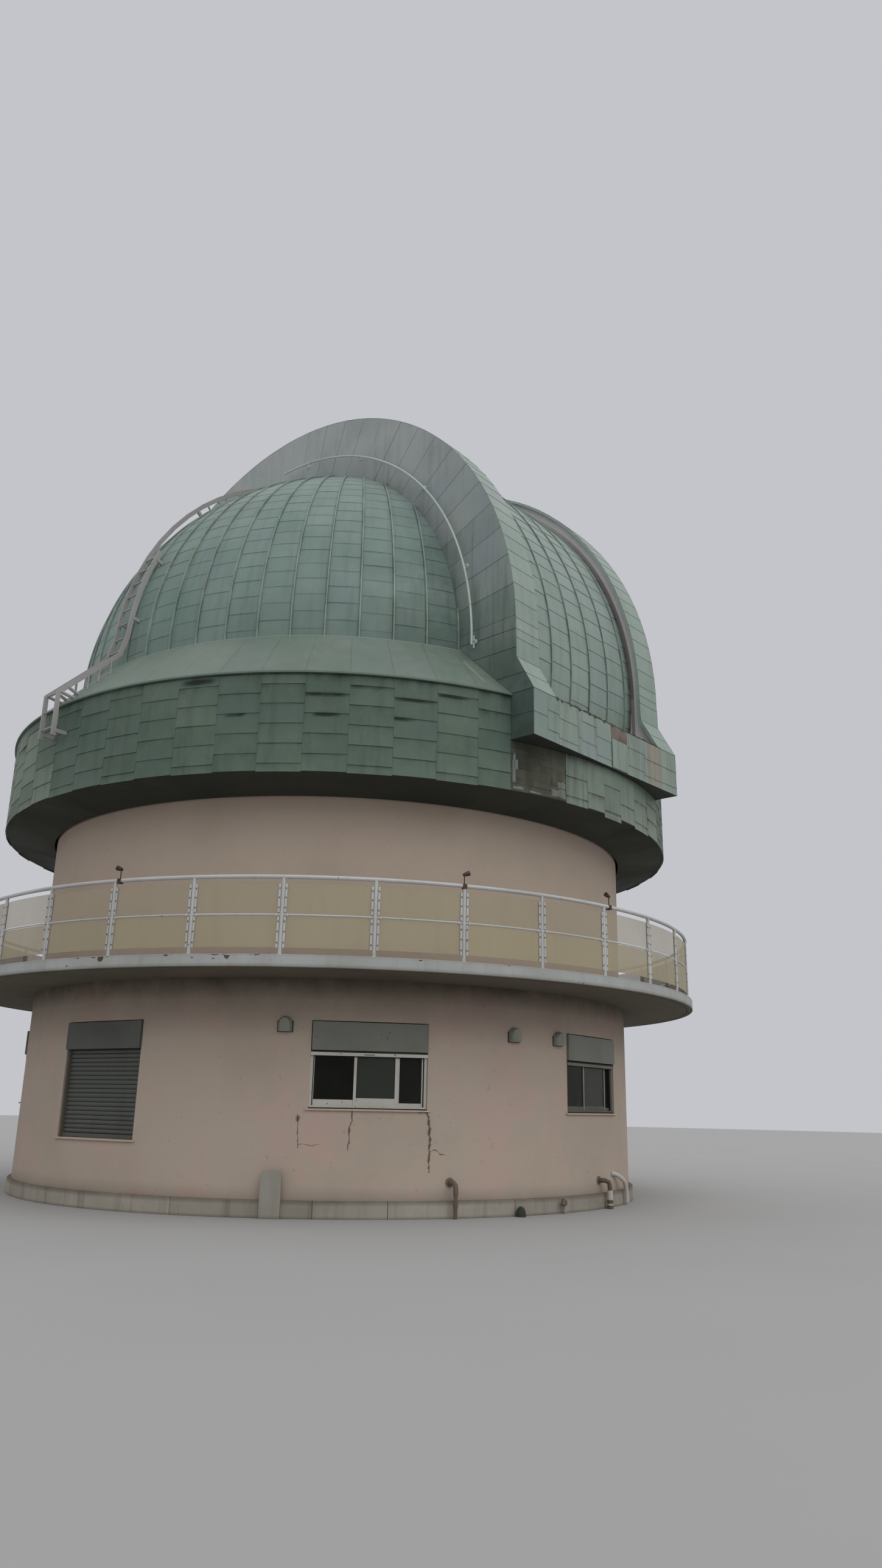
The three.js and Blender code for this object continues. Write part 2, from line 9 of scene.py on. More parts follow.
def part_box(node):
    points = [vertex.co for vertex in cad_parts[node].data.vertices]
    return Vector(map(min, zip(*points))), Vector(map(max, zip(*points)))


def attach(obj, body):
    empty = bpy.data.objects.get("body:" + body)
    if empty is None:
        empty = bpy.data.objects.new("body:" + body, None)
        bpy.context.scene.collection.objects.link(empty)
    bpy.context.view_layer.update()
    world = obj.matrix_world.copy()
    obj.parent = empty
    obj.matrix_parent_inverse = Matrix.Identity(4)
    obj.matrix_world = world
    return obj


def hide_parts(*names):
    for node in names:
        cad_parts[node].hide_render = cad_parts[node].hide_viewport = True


dice = random.Random(11)
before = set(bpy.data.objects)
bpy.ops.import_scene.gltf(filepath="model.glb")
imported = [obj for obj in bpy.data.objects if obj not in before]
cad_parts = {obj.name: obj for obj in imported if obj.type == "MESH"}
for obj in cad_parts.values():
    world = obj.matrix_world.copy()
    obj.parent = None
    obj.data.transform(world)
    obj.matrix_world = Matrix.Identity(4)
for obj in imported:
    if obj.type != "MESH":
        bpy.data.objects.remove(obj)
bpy.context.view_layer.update()        # bodies: tower, dome (turns) and shutter (slides over the dome)
print("frame loaded:", len(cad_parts), "nodes")

# Azimuths are in degrees from the front (-Y) towards +X. The photo looks from viewAzimuth.
viewAzimuth = -42.76
slabRadius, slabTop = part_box("balcony_slab")[1].x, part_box("balcony_slab")[1].z
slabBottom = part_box("balcony_slab")[0].z
plinthRadius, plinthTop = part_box("foundation")[1].x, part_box("foundation")[1].z
wallThickness = 0.2
groundRadius = 5.509
upperRadius = 5.441
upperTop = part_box("upper_wall_1")[1].z
skirtRadius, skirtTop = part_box("skirt")[1].x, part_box("skirt")[1].z
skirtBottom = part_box("skirt")[0].z
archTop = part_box("arch_left")[1].z
archOuter = -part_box("arch_left")[0].x
archInner = 1.66
rimEdge = 1.54
archRadius = 6.086
domeCentre = archTop - archRadius
domeRadius = 5.318
sillFace, sillBottom = -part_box("front_sill")[0].y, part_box("front_sill")[0].z
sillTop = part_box("front_sill")[1].z
flareTop = 8.28
legLean = 0.014
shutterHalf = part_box("shutter")[1].x
shutterRadius = 5.831
shutterAngles = (-10.3, 93.0)


# Places on the tower, for numbers or arrays
def spread(x, y, z):
    return np.stack(np.broadcast_arrays(x, y, z), -1)


def polar(radius, azimuth, height):
    turn = np.radians(azimuth)
    return spread(np.multiply(radius, np.sin(turn)), -np.multiply(radius, np.cos(turn)), height)


def onDome(radius, azimuth, elevation):
    rise = np.radians(elevation)
    return polar(np.multiply(radius, np.cos(rise)), azimuth, domeCentre + np.multiply(radius, np.sin(rise)))


def sideArc(radius, angle, x):   # seen from the side, 0 is the front horizon and 90 the top
    turn = np.radians(angle)
    return spread(x, -np.multiply(radius, np.cos(turn)), domeCentre + np.multiply(radius, np.sin(turn)))


def turned(points, azimuth):     # what was drawn at the front, carried round to an azimuth
    turn = math.radians(azimuth)
    x, y, z = np.moveaxis(np.asarray(points, float), -1, 0)
    return spread(x * math.cos(turn) - y * math.sin(turn), x * math.sin(turn) + y * math.cos(turn), z)


def around(start=0.0, end=360.0, step=1.25):
    values = np.linspace(start, end, max(1, int(round((end - start) / step))) + 1)
    return values[:-1] if end - start >= 359.999 else values


def inset(low, high, near, far):     # lines at both edges, just inside them and halfway
    return [low, low + near, (low + high) / 2, high - far, high]


def lap(base, rise, rear=False):     # how far a sheet stands off: most at its lower edge
    return lambda s, t: base + rise * (t if rear else 1 - t) ** 2


def pipeRings(path, radius, sides=12):
    path = [Vector(p) for p in path]
    turns = 2 * math.pi * np.arange(sides) / sides
    side = None
    rings = []
    for i, point in enumerate(path):
        run = (path[min(i + 1, len(path) - 1)] - path[max(i - 1, 0)]).normalized()
        side = side or run.orthogonal().normalized()
        side = (side - run * side.dot(run)).normalized()
        other = run.cross(side)
        rings.append([point + (side * math.cos(turn) + other * math.sin(turn)) * radius for turn in turns])
    return np.array(rings)


ridge = np.array([-1, -0.6, 0.6, 1])     # a rib's cross section: wide at its foot, narrower on top


class Work:
    # Points and faces are gathered, then made into one object
    def __init__(self):
        self.points, self.faces, self.tone, self.slot, self.dirt, self.count = [], [], [], [], [], 0

    def gather(self, points, dirt):
        points = np.asarray(points, float).reshape(-1, 3)
        self.points.append(points)
        self.dirt.append(np.asarray(dirt, float).reshape(-1))
        self.count += len(points)
        return self.count - len(points)

    def face(self, corners, tone=0.5, slot=0):
        self.faces.append([int(c) for c in corners])
        self.tone.append(tone)
        self.slot.append(slot)

    def patch(self, surface, us, vs, lift, thickness=0.003, tone=0.5, slot=0, shade=(0.5, 0.2, 0.3, 0.3)):
        # A thin closed sheet. surface(u, v, h) puts a point h above the base; lift(s, t) is h for shares of u and v.
        # shade is the dirt and painted shade along its upper edge, its lower edge, its first side and its last side, or
        # a function.
        us, vs = np.asarray(us, float), np.asarray(vs, float)
        u, v = np.meshgrid(us, vs, indexing="ij")
        s = (u - us[0]) / (us[-1] - us[0])
        t = (v - vs[0]) / (vs[-1] - vs[0])
        h = lift(s, t) + 0 * s
        nu, nv = u.shape
        if callable(shade):
            dirt = shade(s, t) + 0 * s
        else:
            dirt = np.zeros((nu, nv))
            dirt[0], dirt[-1] = shade[2:]
            dirt[:, 0] = np.maximum(dirt[:, 0], shade[1])
            dirt[:, -1] = np.maximum(dirt[:, -1], shade[0])
        index = self.gather(surface(u, v, h), dirt) + np.arange(nu * nv).reshape(nu, nv)
        for i in range(nu - 1):
            for j in range(nv - 1):
                self.face((index[i, j], index[i + 1, j], index[i + 1, j + 1], index[i, j + 1]), tone, slot)
        rim = [(i, 0) for i in range(nu)] + [(nu - 1, j) for j in range(1, nv)]
        rim += [(i, nv - 1) for i in range(nu - 2, -1, -1)] + [(0, j) for j in range(nv - 2, 0, -1)]
        i, j = np.array(rim).T
        low = self.gather(surface(u[i, j], v[i, j], h[i, j] - thickness), dirt[i, j])
        edge, size = index[i, j], len(rim)
        for k in range(size):
            n = (k + 1) % size
            self.face((edge[n], edge[k], low + k, low + n), tone, slot)
        self.face([low + k for k in range(size - 1, -1, -1)], tone, slot)

    def sweep(self, rings, tone=0.5, slot=0, loop=False, dirt=0.0, slots=None):
        # Rings of points joined one to the next, with caps where the run is open. slots gives one per ring side.
        rings = np.asarray(rings, float)
        count, size = rings.shape[:2]
        start = self.gather(rings, np.broadcast_to(dirt, (count, size)))
        index = start + np.arange(count * size).reshape(count, size)
        for i in range(count if loop else count - 1):
            near, far = index[i], index[(i + 1) % count]
            for k in range(size):
                n = (k + 1) % size
                self.face((near[k], near[n], far[n], far[k]), tone, slots[k] if slots else slot)
        if not loop:
            self.face(index[0][::-1], tone, slot)
            self.face(index[-1], tone, slot)

    def box(self, low, high, azimuth=0.0, tone=0.5, slot=0):
        (x0, x1), ys, (z0, z1) = (sorted(pair) for pair in zip(low, high))
        rings = [[(x0, y, z0), (x0, y, z1), (x1, y, z1), (x1, y, z0)] for y in ys]
        self.sweep(turned(rings, azimuth), tone, slot)

    def pipe(self, path, radius, azimuth=0.0, slot=0, sides=12):
        self.sweep(turned(pipeRings(path, radius, sides), azimuth), slot=slot)

    def lathe(self, profile, arc=None, tone=0.5, slot=0, slots=None):
        # A profile of (radius, height) points carried round the tower, or along an arc of it
        radii, heights = np.array(profile, float).T
        azimuths = around() if arc is None else arc
        self.sweep(polar(radii, azimuths[:, None], heights), tone, slot, arc is None, slots=slots)

    def finish(self, name, body, coats, slot, replaced=(), bevel=0.0):
        mesh = bpy.data.meshes.new(name)
        mesh.from_pydata(np.concatenate(self.points).tolist(), [], self.faces)
        for coat in coats.split():
            mesh.materials.append(bpy.data.materials[coat])
        mesh.polygons.foreach_set("material_index", np.array(self.slot, np.int32))
        tone = mesh.attributes.new("tone", "FLOAT", "FACE")
        tone.data.foreach_set("value", np.array(self.tone, np.float32))
        # Per point: dirt, and painted shade under laps and beside seams, by which the coats darken
        dirt = mesh.attributes.new("dirt", "FLOAT", "POINT")
        dirt.data.foreach_set("value", np.concatenate(self.dirt).astype(np.float32))
        mesh.update()
        mesh.shade_smooth()
        mesh.set_sharp_from_angle(angle=math.radians(32))
        piece = bpy.data.objects.new(name, mesh)
        bpy.context.scene.collection.objects.link(piece)
        if bevel:
            edge = piece.modifiers.new("edge", "BEVEL")
            edge.width = bevel
            edge.segments = 1
            edge.limit_method = "ANGLE"
            edge.angle_limit = math.radians(40)
        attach(piece, body)
        if replaced:
            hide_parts(*replaced)


# Shader work
def srgb(*levels):
    shares = [level / 255 for level in levels]
    return (*[c / 12.92 if c <= 0.04045 else ((c + 0.055) / 1.055) ** 2.4 for c in shares], 1.0)


class NodeBench:
    def __init__(self, tree):
        self.tree = tree

    def feed(self, socket, value):
        if isinstance(value, bpy.types.NodeSocket):
            self.tree.links.new(value, socket)
        else:
            socket.default_value = value

    def node(self, kind, inputs=None, **settings):
        made = self.tree.nodes.new("ShaderNode" + kind)
        for name, value in settings.items():
            setattr(made, name, value)
        for name, value in (inputs or {}).items():
            self.feed(made.inputs[name], value)
        return made

    def sums(self, operation, a, b=0.0, clamp=False):
        made = self.node("Math", {0: a, 1: b}, operation=operation, use_clamp=clamp)
        return made.outputs[0]

    def plus(self, a, b, clamp=False):
        return self.sums("ADD", a, b, clamp)

    def times(self, a, b):
        return self.sums("MULTIPLY", a, b)

    def runs(self, place, run, spread):
        return self.group(runMarks, Vector=self.stretch(place, *run), Fineness=1.0, Spread=spread)["Mask"]

    def span(self, value, low, high, toLow=0.0, toHigh=1.0):
        made = self.node("MapRange", {0: value, 1: low, 2: high, 3: toLow, 4: toHigh}, clamp=True)
        return made.outputs[0]

    def blend(self, factor, a, b):
        made = self.node("Mix", {0: factor, 6: a, 7: b}, data_type="RGBA")
        return made.outputs[2]

    def noise(self, vector, scale, detail=3.0, roughness=0.5, distortion=0.0):
        values = {"Vector": vector, "Scale": scale, "Detail": detail}
        values.update({"Roughness": roughness, "Distortion": distortion})
        return self.node("TexNoise", values).outputs[0]

    def stretch(self, vector, x, y, z):
        return self.node("VectorMath", {0: vector, 1: (x, y, z)}, operation="MULTIPLY").outputs[0]

    def height(self, vector):
        return self.node("SeparateXYZ", {0: vector}).outputs[2]

    def bump(self, height, strength, distance):
        values = {"Height": height, "Strength": strength, "Distance": distance}
        return self.node("Bump", values).outputs[0]

    def group(self, tree, **values):
        made = self.tree.nodes.new("ShaderNodeGroup")
        made.node_tree = tree
        for name, value in values.items():
            self.feed(made.inputs[name], value)
        return made.outputs


def shaderGroup(name, inputs, outputs):
    kinds = {"value": "NodeSocketFloat", "color": "NodeSocketColor", "vector": "NodeSocketVector"}
    tree = bpy.data.node_groups.new(name, "ShaderNodeTree")
    for label, kind, value in inputs:
        socket = tree.interface.new_socket(name=label, in_out="INPUT", socket_type=kinds[kind])
        if value is not None:
            socket.default_value = value
    for label, kind in outputs:
        tree.interface.new_socket(name=label, in_out="OUTPUT", socket_type=kinds[kind])
    bench = NodeBench(tree)
    entered = tree.nodes.new("NodeGroupInput").outputs
    left = tree.nodes.new("NodeGroupOutput").inputs
    return tree, bench, entered, left


def makeRunMarks():
    # Marks left by water that runs down: long along one direction, fine across it
    tree, bench, given, out = shaderGroup(
        "runMarks",
        [("Vector", "vector", None), ("Fineness", "value", 6.0), ("Spread", "value", 0.12)],
        [("Mask", "value")],
    )
    scaled = bench.node("VectorMath", {0: given["Vector"], 3: given["Fineness"]}, operation="SCALE").outputs[0]
    coarse = bench.noise(scaled, 1.0, 4.0, 0.6)
    high = bench.plus(0.56, given["Spread"])
    bench.feed(out["Mask"], bench.node("MapRange", {0: coarse, 1: 0.5, 2: high}).outputs[0])
    return tree


def makePatina(runMarks):
    # Weathered copper: each sheet has its own tone, with clouds, water marks, and dirt and painted shade at its laps
    tree, bench, given, out = shaderGroup(
        "patina",
        [
            ("Vector", "vector", None), ("RunVector", "vector", None),
            ("Tone", "value", 0.5), ("Variety", "value", 0.5), ("Bluing", "value", 0.4),
            ("Dirt", "value", 0.0), ("Marks", "value", 0.4),
            ("Pale", "color", (1, 1, 1, 1)), ("Leaf", "color", (0, 1, 0, 1)),
            ("Slate", "color", (0, 0, 1, 1)), ("Soot", "color", (0, 0, 0, 1)),
        ],
        [("Color", "color"), ("Roughness", "value"), ("Height", "value")],
    )
    cloud = bench.noise(given["Vector"], 0.55, 3.0, 0.55)
    blueCloud = bench.noise(bench.stretch(given["Vector"], -1, 1, 1), 0.8, 2.0, 0.5, 0.4)
    mottle = bench.noise(given["Vector"], 4.0, 5.0, 0.62, 0.7)
    grain = bench.noise(given["Vector"], 42.0, 4.0, 0.65)
    own = bench.times(bench.sums("SUBTRACT", given["Tone"], 0.5), given["Variety"])
    swing = bench.plus(own, bench.times(cloud, 1.1))
    swing = bench.plus(swing, bench.times(mottle, 0.7))
    color = bench.blend(bench.span(swing, 0.62, 1.18), given["Leaf"], given["Pale"])
    second = bench.sums("FRACT", bench.times(given["Tone"], 7.31))
    blue = bench.plus(bench.span(blueCloud, 0.5, 0.66, 0.0, 0.7), bench.span(second, 0.7, 1.0, 0.0, 0.6), True)
    color = bench.blend(bench.times(blue, given["Bluing"]), color, given["Slate"])
    runs = bench.group(runMarks, Vector=given["RunVector"], Fineness=1.0, Spread=0.16)["Mask"]
    back = bench.stretch(given["RunVector"], -1, -1, 1)
    paleRuns = bench.group(runMarks, Vector=back, Fineness=1.4, Spread=0.16)["Mask"]
    paleShare = bench.times(paleRuns, bench.times(given["Marks"], 0.5))
    color = bench.blend(paleShare, color, given["Pale"])
    soot = bench.times(runs, given["Marks"])
    soot = bench.plus(soot, bench.times(bench.span(grain, 0.42, 0.75), 0.1))
    patchy = bench.noise(given["Vector"], 1.9, 4.0, 0.6)
    # The dirt input also carries painted shade at laps and beside seams; with the water marks it darkens towards the
    # dark colour
    edge = bench.times(given["Dirt"], bench.span(patchy, 0.34, 0.6, 0.4, 1.0))
    soot = bench.plus(soot, edge, True)
    color = bench.blend(soot, color, given["Soot"])
    bench.feed(out["Color"], color)
    bench.feed(out["Roughness"], bench.span(bench.plus(mottle, given["Dirt"]), 0.3, 1.2, 0.5, 0.85))
    relief = bench.plus(bench.times(mottle, 0.6), bench.times(grain, 0.3))
    bench.feed(out["Height"], relief)
    return tree


def makeGrit():
    # Grain of stone, plaster and paint: a fine relief, soft stains and small specks
    tree, bench, given, out = shaderGroup(
        "grit",
        [("Vector", "vector", None), ("Size", "value", 30.0), ("Stain", "value", 0.5), ("Speck", "value", 0.7)],
        [("Height", "value"), ("Stains", "value"), ("Specks", "value")],
    )
    fine = bench.noise(given["Vector"], given["Size"], 6.0, 0.6)
    soft = bench.noise(given["Vector"], 0.7, 4.0, 0.55, 0.3)
    dots = bench.noise(given["Vector"], bench.times(given["Size"], 0.35), 3.0, 0.6)
    bench.feed(out["Height"], fine)
    bench.feed(out["Stains"], bench.times(bench.span(soft, 0.42, 0.72), given["Stain"]))
    top = bench.plus(given["Speck"], 0.06)
    bench.feed(out["Specks"], bench.node("MapRange", {0: dots, 1: given["Speck"], 2: top}).outputs[0])
    return tree


runMarks = makeRunMarks()
patina = makePatina(runMarks)
grit = makeGrit()


def newMaterial(name, roughness=0.7, metallic=0.0):
    material = bpy.data.materials.new(name)
    material.use_nodes = True
    tree = material.node_tree
    surface = tree.nodes["Principled BSDF"]
    surface.inputs["Roughness"].default_value = roughness
    surface.inputs["Metallic"].default_value = metallic
    bench = NodeBench(tree)
    place = bench.node("TexCoord").outputs["Object"]
    return bench, surface.inputs, place


def attribute(bench, name):
    return bench.node("Attribute", attribute_name=name).outputs["Fac"]


def copperFinish(name, pale, leaf, slate, soot, marks, flow=(9, 9, 0.5), variety=0.4, bluing=0.4, ringed=False,
                 shifts=()):
    # flow says which way water runs: down the dome, down a wall or along the arch
    bench, shader, place = newMaterial(name)
    x, y, z = flow
    if ringed:
        across = bench.node("VectorMath", {0: bench.stretch(place, 1, 1, 0)}, operation="NORMALIZE").outputs[0]
        down = bench.stretch(place, 0, 0, z)
        run = bench.node("VectorMath", {0: bench.stretch(across, x, x, 0), 1: down}, operation="ADD").outputs[0]
    else:
        run = bench.stretch(place, x, y, z)
    made = bench.group(
        patina, Vector=place, RunVector=run, Tone=attribute(bench, "tone"), Dirt=attribute(bench, "dirt"),
        Variety=variety, Bluing=bluing, Marks=marks,
        Pale=srgb(*pale), Leaf=srgb(*leaf), Slate=srgb(*slate), Soot=srgb(*soot),
    )
    color = made["Color"]
    for z0, z1, share, tint in shifts:     # the tone moves with height from z0 (none) to z1 (full)
        patchy = bench.span(bench.noise(place, 1.3, 4.0, 0.65), 0.35, 0.6, 0.7, 1.0)
        gather = bench.times(bench.span(bench.height(place), z0, z1, 0.0, share), patchy)
        color = bench.blend(gather, color, srgb(*tint))
    bench.feed(shader["Base Color"], color)
    bench.feed(shader["Roughness"], made["Roughness"])
    bench.feed(shader["Normal"], bench.bump(made["Height"], 0.45, 0.006))
    shader["Metallic"].default_value = 0.1


# The shifts to a pale tint towards the top, on the dome, cheek, strip and shutter coats, are painted light: the hazy
# air makes the high parts look paler.
copperLooks = {
    "domeCopper": dict(pale=(138, 158, 151), leaf=(114, 139, 130), slate=(122, 141, 144), soot=(58, 70, 64),
                       marks=0.2, flow=(30, 30, 0.5), ringed=True, variety=0.22, bluing=0.5,
                       shifts=[(9.6, 8.6, 0.3, (92, 110, 102)), (10.5, 14.0, 0.5, (160, 173, 170))]),
    "skirtCopper": dict(pale=(102, 121, 107), leaf=(72, 95, 81), slate=(84, 104, 99), soot=(34, 44, 37),
                       marks=0.25, flow=(34, 34, 0.7), ringed=True, variety=0.25, bluing=0.6),
    "apronCopper": dict(pale=(122, 136, 127), leaf=(99, 118, 107), slate=(110, 124, 120), soot=(64, 73, 64),
                       marks=0.12, flow=(16, 16, 0.4), ringed=True, variety=0.2),
    "cheekCopper": dict(pale=(148, 159, 154), leaf=(120, 137, 130), slate=(124, 138, 148), soot=(60, 76, 68),
                       marks=0.5, flow=(6, 7, 0.5), variety=0.4, bluing=0.7,
                       shifts=[(9.9, 7.8, 0.92, (54, 74, 64)), (9.5, 14.0, 0.7, (182, 186, 189))]),
    "stripCopper": dict(pale=(158, 173, 165), leaf=(138, 158, 149), slate=(148, 160, 159), soot=(82, 92, 86),
                       marks=0.2, flow=(9, 0.5, 0.5), variety=0.25, shifts=[(9.5, 14.6, 0.3, (184, 192, 190))]),
    "shutterCopper": dict(pale=(152, 168, 161), leaf=(132, 152, 144), slate=(142, 155, 155), soot=(74, 86, 80),
                       marks=0.2, flow=(9, 0.5, 0.5), variety=0.2, shifts=[(9.5, 14.6, 0.3, (180, 189, 187))]),
    "sillCopper": dict(pale=(150, 164, 153), leaf=(132, 152, 141), slate=(136, 152, 158), soot=(92, 92, 82),
                       marks=0.45, flow=(7, 7, 0.6), variety=0.5, bluing=0.6),
    "rustCopper": dict(pale=(150, 148, 134), leaf=(136, 136, 124), slate=(132, 138, 134), soot=(116, 88, 70),
                       marks=0.8),
    "lowCopper": dict(pale=(136, 151, 137), leaf=(110, 128, 115), slate=(116, 128, 124), soot=(60, 58, 47),
                       marks=0.55, variety=0.7),
    "warmCopper": dict(pale=(158, 155, 141), leaf=(144, 143, 129), slate=(138, 144, 138), soot=(108, 96, 86),
                       marks=0.35),
    # Paler copper for the seams; on their tops the paleness is a painted highlight.
    "seamCopper": dict(pale=(172, 188, 180), leaf=(150, 170, 161), slate=(156, 172, 168), soot=(40, 54, 47),
                       marks=0.1, flow=(30, 30, 0.5)),
}
for name, look in copperLooks.items():
    copperFinish(name, **look)


def stoneFinish(name, base, stain, grime, blush=None, stainShare=0.7, runs=0.08, grimes=(), size=34.0, relief=0.004):
    # Blotches of the stain colour, marks of the streak colour, and grime between two heights, which under the balcony
    # slab is also painted shadow
    bench, shader, place = newMaterial(name, 0.9)
    made = bench.group(grit, Vector=place, Size=size, Stain=stainShare, Speck=0.66)
    color = bench.blend(made["Stains"], srgb(*base), srgb(*stain))
    dark, blushColor = srgb(*grime), srgb(*(blush or base))
    cloud = bench.noise(bench.stretch(place, -1, 1, 1), 1.1, 4.0, 0.6, 0.5)
    color = bench.blend(bench.span(cloud, 0.5, 0.68, 0.0, 0.8), color, blushColor)
    tone = attribute(bench, "tone")                # 0.5 leaves the coat as it is
    color = bench.blend(bench.span(tone, 0.5, 1.0, 0.0, 0.6), color, blushColor)
    color = bench.blend(bench.span(tone, 0.5, 0.0, 0.0, 0.6), color, dark)
    color = bench.blend(bench.times(bench.runs(place, (5, 5, 0.35), 0.25), runs), color, dark)
    for z0, z1, share in grimes:
        uneven = bench.span(bench.noise(place, 1.6, 4.0, 0.65), 0.3, 0.65, 0.7, 1.0)
        gather = bench.times(bench.span(bench.height(place), z0, z1, 0.0, share), uneven)
        color = bench.blend(gather, color, dark)
    color = bench.blend(bench.times(made["Specks"], 0.2), color, dark)
    color = bench.blend(bench.times(attribute(bench, "dirt"), 0.9), color, dark)
    bench.feed(shader["Base Color"], color)
    bench.feed(shader["Normal"], bench.bump(made["Height"], 0.6, relief))


stoneLooks = {
    # On the plaster the dark bands from 2.35 and 2.92 m up are painted shadow of the slab with grime; the one at the
    # foot is grime.
    "plaster": dict(base=(187, 173, 159), stain=(174, 161, 146), blush=(194, 168, 158), grime=(62, 52, 38), runs=0.03,
                    grimes=[(2.35, 3.3, 0.66), (2.92, 3.22, 0.8), (0.42, 0.2, 0.35)]),
    "upperPlaster": dict(base=(200, 184, 169), stain=(188, 173, 156), blush=(200, 180, 167), grime=(112, 100, 85),
                         runs=0.03, grimes=[(5.7, 6.6, 0.65)]),
    "concrete": dict(base=(168, 163, 152), stain=(138, 131, 118), blush=(174, 169, 157), grime=(74, 67, 55), runs=0.5,
                     grimes=[(0.04, 0.0, 0.6), (0.16, 0.23, 0.75)], size=22.0),
    "coverStone": dict(base=(160, 158, 150), stain=(140, 136, 127), grime=(88, 82, 70), runs=0.4,
                       grimes=[(0.05, 0.0, 0.6)]),
    "slabPaint": dict(base=(176, 180, 179), stain=(156, 158, 155), grime=(100, 92, 80), runs=0.25,
                      grimes=[(3.29, 3.235, 0.7), (3.37, 3.41, 0.35)]),
    # The underside's dark coat is partly stain and partly painted shade under the slab.
    "slabUnder": dict(base=(100, 94, 79), stain=(84, 78, 63), grime=(54, 49, 38)),
    "slabFloor": dict(base=(148, 147, 140), stain=(126, 124, 116), grime=(92, 90, 80)),
    "boards": dict(base=(78, 80, 68), stain=(54, 52, 42), blush=(104, 106, 92), grime=(42, 40, 32), stainShare=1.0,
                   runs=0.6, size=9.0, relief=0.012),
    "crackDark": dict(base=(92, 80, 68), stain=(70, 60, 50), grime=(50, 42, 34)),
    "crackStain": dict(base=(150, 134, 118), stain=(132, 116, 100), grime=(96, 84, 70)),
}
for name, look in stoneLooks.items():
    stoneFinish(name, **look)


def paintFinish(name, base, worn, speckAndShade, rough, metallic=0.0):
    bench, shader, place = newMaterial(name, rough, metallic)
    made = bench.group(grit, Vector=place, Size=60.0, Stain=0.8, Speck=0.67)
    worn, speckAndShade = srgb(*worn), srgb(*speckAndShade)
    color = bench.blend(made["Stains"], srgb(*base), worn)
    color = bench.blend(bench.times(bench.runs(place, (14, 14, 0.8), 0.2), 0.3), color, worn)
    color = bench.blend(made["Specks"], color, speckAndShade)
    color = bench.blend(bench.times(attribute(bench, "dirt"), 0.8), color, speckAndShade)
    bench.feed(shader["Base Color"], color)
    bench.feed(shader["Roughness"], bench.span(made["Stains"], 0.0, 0.8, rough, min(rough + 0.2, 1.0)))
    bench.feed(shader["Normal"], bench.bump(made["Height"], 0.25, 0.002))


paintLooks = {      # base, worn and speck colours (the speck colour also takes dirt and painted shade), roughness, metal share
    "railPaint": ((196, 198, 198), (172, 171, 169), (118, 98, 84), 0.45),
    "ladderPaint": ((164, 164, 163), (140, 139, 137), (98, 90, 80), 0.5),
    "grabPaint": ((196, 206, 202), (176, 186, 180), (116, 120, 112), 0.45),
    "darkSteel": ((54, 58, 50), (42, 45, 38), (70, 62, 48), 0.75),
    "linerPaint": ((96, 100, 94), (78, 82, 76), (60, 56, 48), 0.7),
    "lipPaint": ((240, 237, 238), (224, 220, 220), (122, 110, 110), 0.5),
    "rustDots": ((122, 92, 72), (98, 72, 56), (70, 52, 42), 0.7),
    "curtainBox": ((88, 91, 86), (76, 78, 73), (56, 52, 44), 0.5),
    "doorPaint": ((160, 164, 158), (142, 146, 140), (100, 92, 80), 0.5),
    "aluminium": ((202, 200, 194), (180, 176, 168), (112, 104, 92), 0.35, 0.3),
    "sashPaint": ((112, 113, 105), (92, 92, 84), (66, 62, 54), 0.45, 0.2),
    "boxPaint": ((124, 127, 118), (106, 108, 100), (74, 66, 56), 0.5),
    "curtainPaint": ((84, 88, 84), (70, 73, 69), (50, 48, 42), 0.5),
    # Near-black paint for painted shade in gaps and recesses; also the two screw heads.
    "gapBlack": ((38, 35, 30), (28, 26, 23), (48, 42, 35), 0.8),
    "lampPaint": ((62, 48, 40), (48, 38, 32), (90, 70, 54), 0.5),
    "ventPaint": ((142, 143, 134), (122, 122, 114), (88, 82, 70), 0.45, 0.3),
    "pipePaint": ((106, 92, 79), (86, 73, 61), (62, 50, 40), 0.6),
    "whitePipe": ((200, 196, 190), (176, 170, 162), (110, 98, 86), 0.4),
}
for name, look in paintLooks.items():
    paintFinish(name, *look)


def makeGlass():
    bench, shader, place = newMaterial("windowGlass", 0.08)
    haze = bench.noise(place, 3.0, 3.0)
    tone = attribute(bench, "tone")
    color = bench.blend(tone, srgb(52, 55, 48), srgb(150, 160, 148))
    bench.feed(shader["Base Color"], bench.blend(bench.span(haze, 0.4, 0.8, 0.0, 0.3), color, srgb(110, 108, 96)))
    bench.feed(shader["Roughness"], bench.span(haze, 0.3, 0.8, 0.04, 0.2))
    shader["Transmission Weight"].default_value = 0.85
    shader["IOR"].default_value = 1.22


def makePanel():
    # Tone 0 is the clearer, pinkish upper sheet, tone 1 the yellower lower one
    bench, shader, place = newMaterial("infillPanel", 0.4)
    made = bench.group(grit, Vector=place, Size=18.0, Stain=0.8, Speck=0.72)
    runs = bench.runs(place, (6, 6, 0.5), 0.25)
    tone = attribute(bench, "tone")
    color = bench.blend(tone, srgb(180, 169, 147), srgb(184, 174, 143))
    color = bench.blend(bench.times(made["Stains"], 0.6), color, srgb(168, 157, 132))
    color = bench.blend(bench.times(runs, 0.3), color, srgb(156, 145, 120))
    bench.feed(shader["Base Color"], color)
    bench.feed(shader["Normal"], bench.bump(made["Height"], 0.15, 0.002))
    clear = bench.span(bench.plus(tone, bench.times(made["Stains"], 0.2)), 0.0, 1.0, 0.42, 0.84)
    bench.feed(shader["Alpha"], clear)


makeGlass()
makePanel()
print("materials made:", len(bpy.data.materials))


